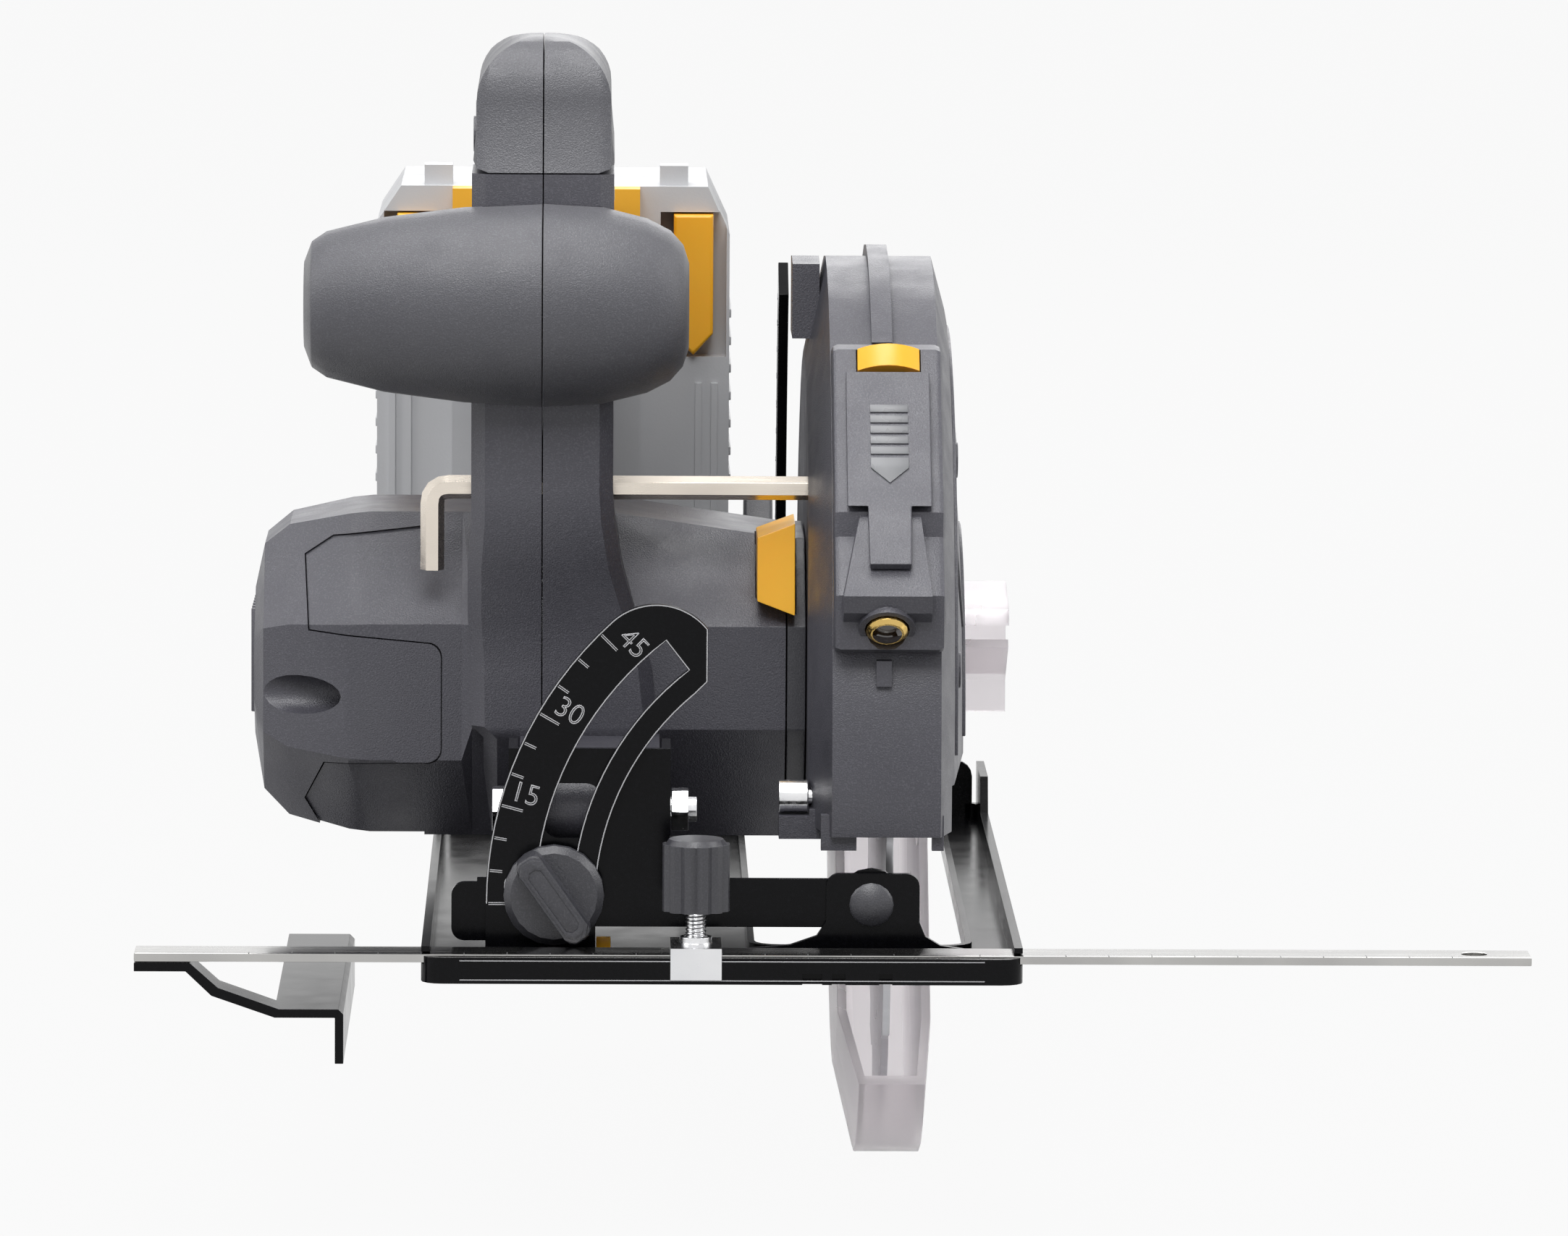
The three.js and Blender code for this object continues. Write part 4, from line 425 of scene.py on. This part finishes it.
def rounded_copy(node, material, edge, rim=None):
    """The node's own shape with flat facets merged, its hard edges eased and its round walls smooth."""
    mesh = frame["nodes"][node].data.copy()
    mesh.name = node + "_skin"
    form = bmesh.new()
    form.from_mesh(mesh)
    bmesh.ops.remove_doubles(form, verts=form.verts, dist=2e-6)
    bmesh.ops.dissolve_limit(form, angle_limit=math.radians(0.6), verts=form.verts, edges=form.edges)
    hard = [join for join in form.edges if len(join.link_faces) == 2 and join.calc_face_angle(0) > CREASE]
    eased = bmesh.ops.bevel(form, geom=hard, offset=edge * MM, offset_type="OFFSET", segments=2, profile=0.6,
                            affect="EDGES", clamp_overlap=True)
    # the eased faces take the second material where one is given: the painted edge highlight on black steel
    for face in eased["faces"]:
        face.material_index = 1 if rim else 0
    shade_smooth(form, CREASE)
    form.to_mesh(mesh)
    form.free()
    mesh.materials.clear()
    mesh.materials.append(material)
    if rim:
        mesh.materials.append(rim)
    skin = bpy.data.objects.new(node + "_skin", mesh)
    bpy.context.scene.collection.objects.link(skin)
    skin.modifiers.new("even_shading", "WEIGHTED_NORMAL").keep_sharp = True
    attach(skin, BODY_OF[node])
    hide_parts(node)


def dress_nodes():
    for node in frame["nodes"]:
        if node not in OWN_SHAPE:
            slot = SLOT_OF[node]
            # black steel gets a second material on its eased edges, a painted highlight for the glint along
            # them
            rounded_copy(node, MATERIALS[OWN_FINISH.get(node, slot)], EDGE.get(slot, OTHER_EDGES),
                         MATERIALS["paint_edge"] if slot == "black_steel" else None)


# ------------------------------------------------------------ shapes in millimetres: corners and faces
def tube(rings):
    """A closed solid through rings of corners of equal count."""
    corners = [corner for ring in rings for corner in ring]
    around = len(rings[0])
    last = len(corners) - around
    caps = [tuple(range(around))[::-1], tuple(range(last, last + around))]
    return corners, caps + ring_walls(0, last, around)


def ring_walls(first, last, around):
    """The faces between rings of corners, from the ring that starts at first to the one at last."""
    return [(low + i, low + (i + 1) % around, low + around + (i + 1) % around, low + around + i)
            for low in range(first, last, around) for i in range(around)]


def prism(outline, height):
    """An outline in (u, v), raised from 0 to height."""
    return tube([[(u, v, w) for u, v in outline] for w in (0, height)])


def bar(u0, u1, v0, v1, height):
    return prism([(u0, v0), (u1, v0), (u1, v1), (u0, v1)], height)


def frame_ring(outer, inner, height):
    """A raised rim between two outlines of equal point count."""
    count = len(outer)
    corners = [(u, v, w) for w in (0, height) for u, v in (*outer, *inner)]
    faces = []
    for i in range(count):
        j = (i + 1) % count
        top = 2 * count
        faces += [(top + i, top + j, top + count + j, top + count + i), (j, i, count + i, count + j),
                  (i, j, top + j, top + i), (count + j, count + i, top + count + i, top + count + j)]
    return corners, faces


def ribbon(points, width, height):
    """A thin raised line along points in (u, v)."""
    rows = []
    for i, (u, v) in enumerate(points):
        (u0, v0), (u1, v1) = points[max(i - 1, 0)], points[min(i + 1, len(points) - 1)]
        span = math.hypot(u1 - u0, v1 - v0)
        du, dv = (v0 - v1) / span * width / 2, (u1 - u0) / span * width / 2
        one, other = (u + du, v + dv), (u - du, v - dv)
        rows.append([(*one, 0), (*other, 0), (*other, height), (*one, height)])
    return tube(rows)


ARC_STEP = 3  # about how many degrees lie between the points of an arc


def circle(count, radius=1.0):
    turns = [2 * math.pi * step / count for step in range(count)]
    return [(radius * math.cos(turn), radius * math.sin(turn)) for turn in turns]


def arc(centre, radius, start, end):
    """Points on an arc from one angle to another in degrees."""
    count = math.ceil(abs(end - start) / ARC_STEP)
    turns = [math.radians(start + (end - start) * i / count) for i in range(count + 1)]
    return [(centre[0] + radius * math.cos(turn), centre[1] + radius * math.sin(turn)) for turn in turns]


def long_octagon(half, reach, corner):
    """A bar's outline with cut corners, half wide in u and reach long in v either way."""
    return [(half, reach - corner), (half - corner, reach), (corner - half, reach), (-half, reach - corner),
            (-half, corner - reach), (corner - half, -reach), (half - corner, -reach), (half, corner - reach)]


def laid(shape, origin, across, along, out):
    """A (u, v, w) shape laid at an origin with its three axes given as directions."""
    corners, faces = shape
    origin, across, along, out = (Vector(axis) for axis in (origin, across, along, out))
    return [origin + across * u + along * v + out * w for u, v, w in corners], faces


def several(shapes):
    """One shape out of several."""
    corners, faces = [], []
    for more_corners, more_faces in shapes:
        start = len(corners)
        corners += more_corners
        faces += [tuple(start + i for i in face) for face in more_faces]
    return corners, faces


def detail(name, shape, node, finish, slot=None, ease=0.0, crease=30):
    """A piece that rides with a CAD node's body, its edges eased where asked."""
    corners, faces = shape
    mesh = bpy.data.meshes.new(name)
    mesh.from_pydata([[place * MM for place in corner] for corner in corners], [], faces)
    form = bmesh.new()
    form.from_mesh(mesh)
    bmesh.ops.recalc_face_normals(form, faces=form.faces)
    if ease:
        bmesh.ops.bevel(form, geom=form.edges[:], offset=ease * MM, segments=2, profile=0.6, affect="EDGES",
                        clamp_overlap=True)
    shade_smooth(form, math.radians(crease))
    form.to_mesh(mesh)
    form.free()
    mesh.materials.append(MATERIALS[finish])
    return placed(name, mesh, node)


def placed(name, mesh, node):
    """An object that rides with a CAD node's body."""
    piece = bpy.data.objects.new(name, mesh)
    bpy.context.scene.collection.objects.link(piece)
    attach(piece, BODY_OF[node])
    return piece


# ------------------------------------------------------------ bevel quadrant and knob
QUADRANT_FACE = FRONT + 26
QUADRANT_OUTER, QUADRANT_INNER = 90.5, 64.7
SLOT_MIDDLE, SLOT_WIDTH = 74.5, 8.4
NOSE_CENTRE, NOSE_RADIUS = (-50.67, 55.30), 15.5  # the quadrant's round top, from the tilt axis


def on_quadrant(radius, degrees, ahead=0.0):
    """A point at a radius and an angle about the tilt axis, this far ahead of the quadrant's face."""
    angle = math.radians(degrees)
    return Vector((TILT_AXIS[0] - radius * math.cos(angle), QUADRANT_FACE - ahead,
                   TILT_AXIS[1] + radius * math.sin(angle)))


def quadrant_scale():
    """Raised radial ticks every five degrees, longer at each fifteen, and outlined numerals, all drawn as
    light lines along their edges: painted highlights of the embossed marks.
    """
    edge, line, lift = 90.3, 0.2, 0.12
    shapes = []
    for degrees in range(0, 50, 5):
        angle = math.radians(degrees)
        inward = (math.cos(angle), 0, -math.sin(angle))
        sideways = (math.sin(angle), 0, math.cos(angle))
        length = 5.6 if degrees % 15 == 0 else 3.4
        # two light lines for each tick, along its two edges: painted highlights of the embossed tick
        for side in (-0.32, 0.12):
            shapes.append(laid(bar(0.5, length, side, side + line, lift), on_quadrant(edge, degrees),
                               inward, sideways, FORWARD))
    detail("quadrant_ticks", several(shapes), "bevel_quadrant", "print_and_edge_highlight")
    for degrees, radius in ((0, 84.7), (15, 85.2), (30, 84.2), (45, 83.2)):
        numeral(str(degrees), degrees, on_quadrant(radius, degrees + 2.6))


def quadrant_edges():
    """Painted highlight: a bright thin line along the quadrant's edges and its slot, where the paint turns
    over them.
    """
    axis, inset, width, lift = (0, 0), 0.25, 0.26, 0.1
    slot_top, shoulder, right_edge = 127.8, 132.5, -38.6
    slot_out, slot_in = SLOT_MIDDLE + SLOT_WIDTH / 2 + inset, SLOT_MIDDLE - SLOT_WIDTH / 2 - inset
    slot = arc(axis, slot_out, 180, slot_top) + arc(axis, slot_in, slot_top, 180)
    nose = arc(NOSE_CENTRE, NOSE_RADIUS - inset, 129.5, 39)
    outer = arc(axis, QUADRANT_OUTER - inset, 180, shoulder) + nose
    inner = [(right_edge - inset, 52.6), *arc(axis, QUADRANT_INNER + inset, 130, 174)]
    origin = (TILT_AXIS[0], QUADRANT_FACE, TILT_AXIS[1])
    lines = [laid(ribbon(line, width, lift), origin, RIGHT, UP, FORWARD) for line in (slot, outer + inner)]
    detail("quadrant_edges", several(lines), "bevel_quadrant", "print_and_edge_highlight")


def numeral(text, degrees, centre):
    """A number's outline as fine raised light lines, reading inwards along the quadrant's radius: a painted
    highlight along the embossed numeral's edges.
    """
    name = "numeral_" + text
    curve = bpy.data.curves.new(name, "FONT")
    curve.body = text
    curve.size = 7.0 * MM
    curve.align_x = "CENTER"
    curve.align_y = "CENTER"
    curve.offset = -0.12 * MM
    curve.fill_mode = "NONE"
    curve.bevel_depth = 0.13 * MM
    curve.bevel_resolution = 1
    curve.resolution_u = 5
    drawn = bpy.data.objects.new("drawn_numeral", curve)
    bpy.context.scene.collection.objects.link(drawn)
    bpy.context.view_layer.update()
    mesh = bpy.data.meshes.new_from_object(drawn.evaluated_get(bpy.context.evaluated_depsgraph_get()))
    bpy.data.objects.remove(drawn)
    angle = math.radians(degrees)
    reading = (math.cos(angle), 0, -math.sin(angle))
    upright = (math.sin(angle), 0, math.cos(angle))
    turn = Matrix((reading, upright, FORWARD)).transposed().to_4x4()
    mesh.transform(Matrix.Translation(centre * MM) @ turn)
    mesh.name = name
    mesh.materials.clear()
    mesh.materials.append(MATERIALS["print_and_edge_highlight"])
    for face in mesh.polygons:
        face.use_smooth = True
    placed(name, mesh, "bevel_quadrant")


def knob_wing():
    """A cap over the bevel knob's wing, and a raised rim on it."""
    knob_angle, wing_turn = 1.8, math.radians(35.8)
    cap_start, cap_height, rim_start, rim_height = 10.7, 1.5, 12.15, 0.35  # ahead of the quadrant
    along = (-math.sin(wing_turn), 0, math.cos(wing_turn))
    across = (math.cos(wing_turn), 0, math.sin(wing_turn))
    cap = laid(prism(long_octagon(3.3, 11.2, 2.0), cap_height),
               on_quadrant(SLOT_MIDDLE, knob_angle, cap_start), across, along, FORWARD)
    rim = laid(frame_ring(long_octagon(2.5, 10.0, 1.4), long_octagon(1.8, 8.6, 1.0), rim_height),
               on_quadrant(SLOT_MIDDLE, knob_angle, rim_start), across, along, FORWARD)
    detail("bevel_knob_wing", cap, "bevel_knob", "dark_plastic", ease=0.45)
    detail("bevel_knob_rim", rim, "bevel_knob", "dark_plastic", ease=0.1)


# ------------------------------------------------------------ base, rip fence and depth guide
def base_marks():
    """Fine ticks on the base's front rim and the fence bar, bright rim lines that are painted highlights
    along the rim's edges, and the amber sight block.
    """
    rim_top, bar_top = 6.1, 6.5
    rim = [laid(bar(x - 0.14, x + 0.14, 0.3, 1.7 if x % 10 == 0 else 1.1, 0.06), (0, FRONT, rim_top),
                RIGHT, BACK, UP) for x in range(-60, 65, 5)]
    marks = [laid(bar(x - 0.12, x + 0.12, 0, 3.2 if x % 50 == 0 else 2.0, 0.03), (0, FRONT + 3.2, bar_top),
                  RIGHT, BACK, UP) for x in range(-110, 175, 10)]
    # painted highlights: two bright lines along the front rim's edges
    edges = [laid(bar(-61, 61, z, z + 0.22, 0.06), (0, FRONT, 0), RIGHT, UP, FORWARD) for z in (0.8, 5.3)]
    block = laid(bar(-29.3, -25.9, 33, 36, 4), (0, FRONT, 2), RIGHT, BACK, UP)
    detail("base_front_ticks", several(rim), "base_plate", "dark_mark_and_shade")
    detail("fence_bar_ticks", several(marks), "rip_fence_bar", "dark_mark_and_shade")
    detail("base_front_edge_highlights", several(edges), "base_plate", "print_and_edge_highlight")
    detail("base_sight_block", block, "base_plate", "amber_plastic", slot="amber_plastic", ease=0.3)


def clamp_thread():
    """The clamp screw with its thread cut in."""
    x, y, low, high, radius, pitch, depth = -6.1, FRONT + 9, 6.8, 24.2, 2.5, 0.9, 0.42
    around, rows = 24, int((high - low) / pitch * 6)
    rings = []
    for row in range(rows + 1):
        z = low + (high - low) * row / rows
        ring = []
        for step, (u, v) in enumerate(circle(around)):
            phase = (z / pitch - step / around) % 1
            reach = radius - depth * abs(2 * phase - 1)
            ring.append((x + reach * u, y + reach * v, z))
        rings.append(ring)
    screw = detail("fence_clamp_thread", tube(rings), "fence_clamp_screw", "zinc", crease=70)
    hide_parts("fence_clamp_screw")


def depth_scale():
    """Ticks along the curved depth guide, longer at each ten degrees."""
    pivot, face, tick_end = (FRONT + 43, 35.3), 15.9, 222.5
    shapes = []
    for degrees in range(2, 29, 2):
        angle = math.radians(degrees)
        out = (0, math.cos(angle), math.sin(angle))
        upward = (0, -math.sin(angle), math.cos(angle))
        reach = 220.1 if degrees % 10 else 218.9
        origin = (face, pivot[0] + reach * out[1], pivot[1] + reach * out[2])
        shapes.append(laid(bar(0, tick_end - reach, -0.2, 0.2, 0.1), origin, out, upward, LEFT))
    detail("depth_guide_ticks", several(shapes), "depth_guide", "print_and_edge_highlight")


# ------------------------------------------------------------ laser
def laser_arrow():
    """Five smooth bars and an arrow on the laser's sloping battery cover, lighter than the cover in painted
    sheen.
    """
    middle, half_width, lift, pitch, bar_height = 39.6, 4.5, 0.35, 2.26, 1.6
    down, out = (0, -math.sqrt(0.5), -math.sqrt(0.5)), (0, -math.sqrt(0.5), math.sqrt(0.5))
    start = (middle, FRONT + 68.6, 128.6)
    slope = math.sqrt(2)
    bars = [bar(-half_width, half_width, row * pitch * slope, (row * pitch + bar_height) * slope, lift)
            for row in range(5)]
    arrow = [(-half_width, 11.4 * slope), (half_width, 11.4 * slope), (half_width, 13.6 * slope),
             (0, 16.8 * slope), (-half_width, 13.6 * slope)]
    shapes = [laid(shape, start, RIGHT, down, out) for shape in (*bars, prism(arrow, lift))]
    detail("laser_cover_arrow", several(shapes), "laser_battery_cover", "relief_with_painted_sheen", ease=0.12)


def laser_lens():
    """A dark glass dome in the brass ring, looking forwards and down."""
    rings, around, radius, crown, fall = 4, 20, 3.5, 3.35, 0.75
    out = Vector((0, -math.sqrt(0.5), -math.sqrt(0.5)))
    corners = [(0, 0, crown)]
    for ring in range(1, rings + 1):
        share = ring / rings
        corners += [(u, v, crown - fall * share ** 2) for u, v in circle(around, radius * share)]
    rim = 1 + (rings - 1) * around
    faces = [(0, 1 + i, 1 + (i + 1) % around) for i in range(around)]
    faces += [*ring_walls(1, rim, around), tuple(range(rim, rim + around))]
    dome = laid((corners, faces), (38.7, FRONT + 36.2, 79.8), RIGHT, out.cross(Vector(RIGHT)), out)
    detail("laser_lens", dome, "laser_module", "lens_glass")


# ------------------------------------------------------------ upper guard, motor, screws and battery
SUNK = -0.2  # raised pieces start this far inside the wall that they stand on


def on_guard(reach, degrees, lift):
    """A point on the upper guard's right wall, which falls away slightly towards its rim."""
    hub, rim, right, fall = 44, 102.4, 59.3, 4
    angle = math.radians(degrees)
    return (right - fall * (reach - hub) / (rim - hub) + lift, GUARD_AXIS[0] + reach * math.cos(angle),
            GUARD_AXIS[1] + reach * math.sin(angle))


def guard_arc(inner, outer, start, end, lift):
    """A raised strip on the guard's wall between two radii and two angles."""
    count = max(2, round(abs(end - start) / ARC_STEP))
    turns = [start + (end - start) * i / count for i in range(count + 1)]
    return tube([[on_guard(inner, turn, SUNK), on_guard(outer, turn, SUNK), on_guard(outer, turn, lift),
                  on_guard(inner, turn, lift)] for turn in turns])


def guard_relief():
    """Raised rims on the guard's right wall, and an arrow for the way the blade turns, made lighter in
    painted sheen.
    """
    lift = 0.7
    rims = [guard_arc(96.5, 98.3, 3, 177, lift), guard_arc(47.5, 50, 4, 176, lift)]
    rims += [guard_arc(52, 93, degrees, degrees + 0.9, 0.6) for degrees in (35, 145)]
    detail("guard_rims", several(rims), "upper_guard", "plastic", ease=0.2)
    head = tube([[on_guard(69.5, 71, height), on_guard(78.5, 71, height), on_guard(74, 62, height)]
                 for height in (SUNK, lift)])
    shaft = guard_arc(72.4, 75.6, 112, 71.3, lift)
    detail("guard_turn_arrow", several([shaft, head]), "upper_guard", "relief_with_painted_sheen", ease=0.12)


def screws():
    """Pan-head case screws with a star recess in raised collars, on the guard and the handle's left half."""
    around = 24
    star = [1.55 if step % 4 < 2 else 1.1 for step in range(around)]
    levels = [([2.7] * around, SUNK), ([2.7] * around, 0.35), ([2.3] * around, 0.7), (star, 0.7),
              ([reach * 0.9 for reach in star], 0.1)]
    head = tube([[(reach * u, reach * v, height) for reach, (u, v) in zip(reaches, circle(around))]
                 for reaches, height in levels])
    collar = frame_ring(circle(around, 4.3), circle(around, 3.2), 1.0)
    on_wall = [on_guard(86, degrees, 0) for degrees in (16, 55, 125, 164)]
    on_handle = [(-58.6, FRONT + back, height) for back, height in
                 ((105, 190), (158, 190), (214, 140), (214, 84), (150, 107.5))]
    for name, places, out, node, skin in (("guard", on_wall, RIGHT, "upper_guard", "plastic"),
                                          ("handle", on_handle, LEFT, "handle_left", "handle_plastic")):
        out = Vector(out)
        across = out.orthogonal().normalized()
        along = out.cross(across)
        heads = [laid(head, place, across, along, out) for place in places]
        collars = [laid(collar, Vector(place) + out * SUNK, across, along, out) for place in places]
        detail(name + "_screws", several(heads), node, "steel", slot="steel")
        detail(name + "_screw_collars", several(collars), node, skin, ease=0.15)


def motor_vents():
    """Louvres over the vent slots in the motor's end; each slot is a flat dark sheet, painted shade of the
    opening under its louvre.
    """
    face, middle, height, pitch = -112.2, 2, 60.5, 5.6
    rows = [middle + row * pitch for row in range(-3, 4)]
    slots = [laid(bar(-1.0, 1.0, -12, 12, 0.08), (face, y, height), BACK, UP, LEFT) for y in rows]
    hoods = []
    for y in rows:
        profile = [(y + 1.0, 0), (y + 1.9, -1.1), (y + 2.7, -1.1), (y + 3.6, 0)]
        hoods.append(tube([[(face + 0.1 + lift, place, height + z) for place, lift in profile]
                           for z in (-12.6, 12.6)]))
    detail("motor_vent_slot_shade", several(slots), "motor_end_cap", "dark_mark_and_shade")
    detail("motor_vent_louvres", several(hoods), "motor_end_cap", "plastic", ease=0.2)


def battery_ribs():
    """Grip ribs on both flanks of the battery pack."""
    lowest, pitch = 92, 7
    ribs = [laid(bar(248, 284, -1.1, 1.1, 0.7), (flank, FRONT, lowest + row * pitch), BACK, UP, out)
            for flank, out in ((-85, LEFT), (3.6, RIGHT)) for row in range(7)]
    detail("battery_ribs", several(ribs), "battery_case_back", "battery_plastic", ease=0.25)


aim_camera()
make_floor()
light_studio()
bpy.context.scene.view_settings.view_transform = "Standard"
dress_nodes()
quadrant_scale()
quadrant_edges()
laser_arrow()
laser_lens()
clamp_thread()
knob_wing()
base_marks()
guard_relief()
screws()
motor_vents()
depth_scale()
battery_ribs()
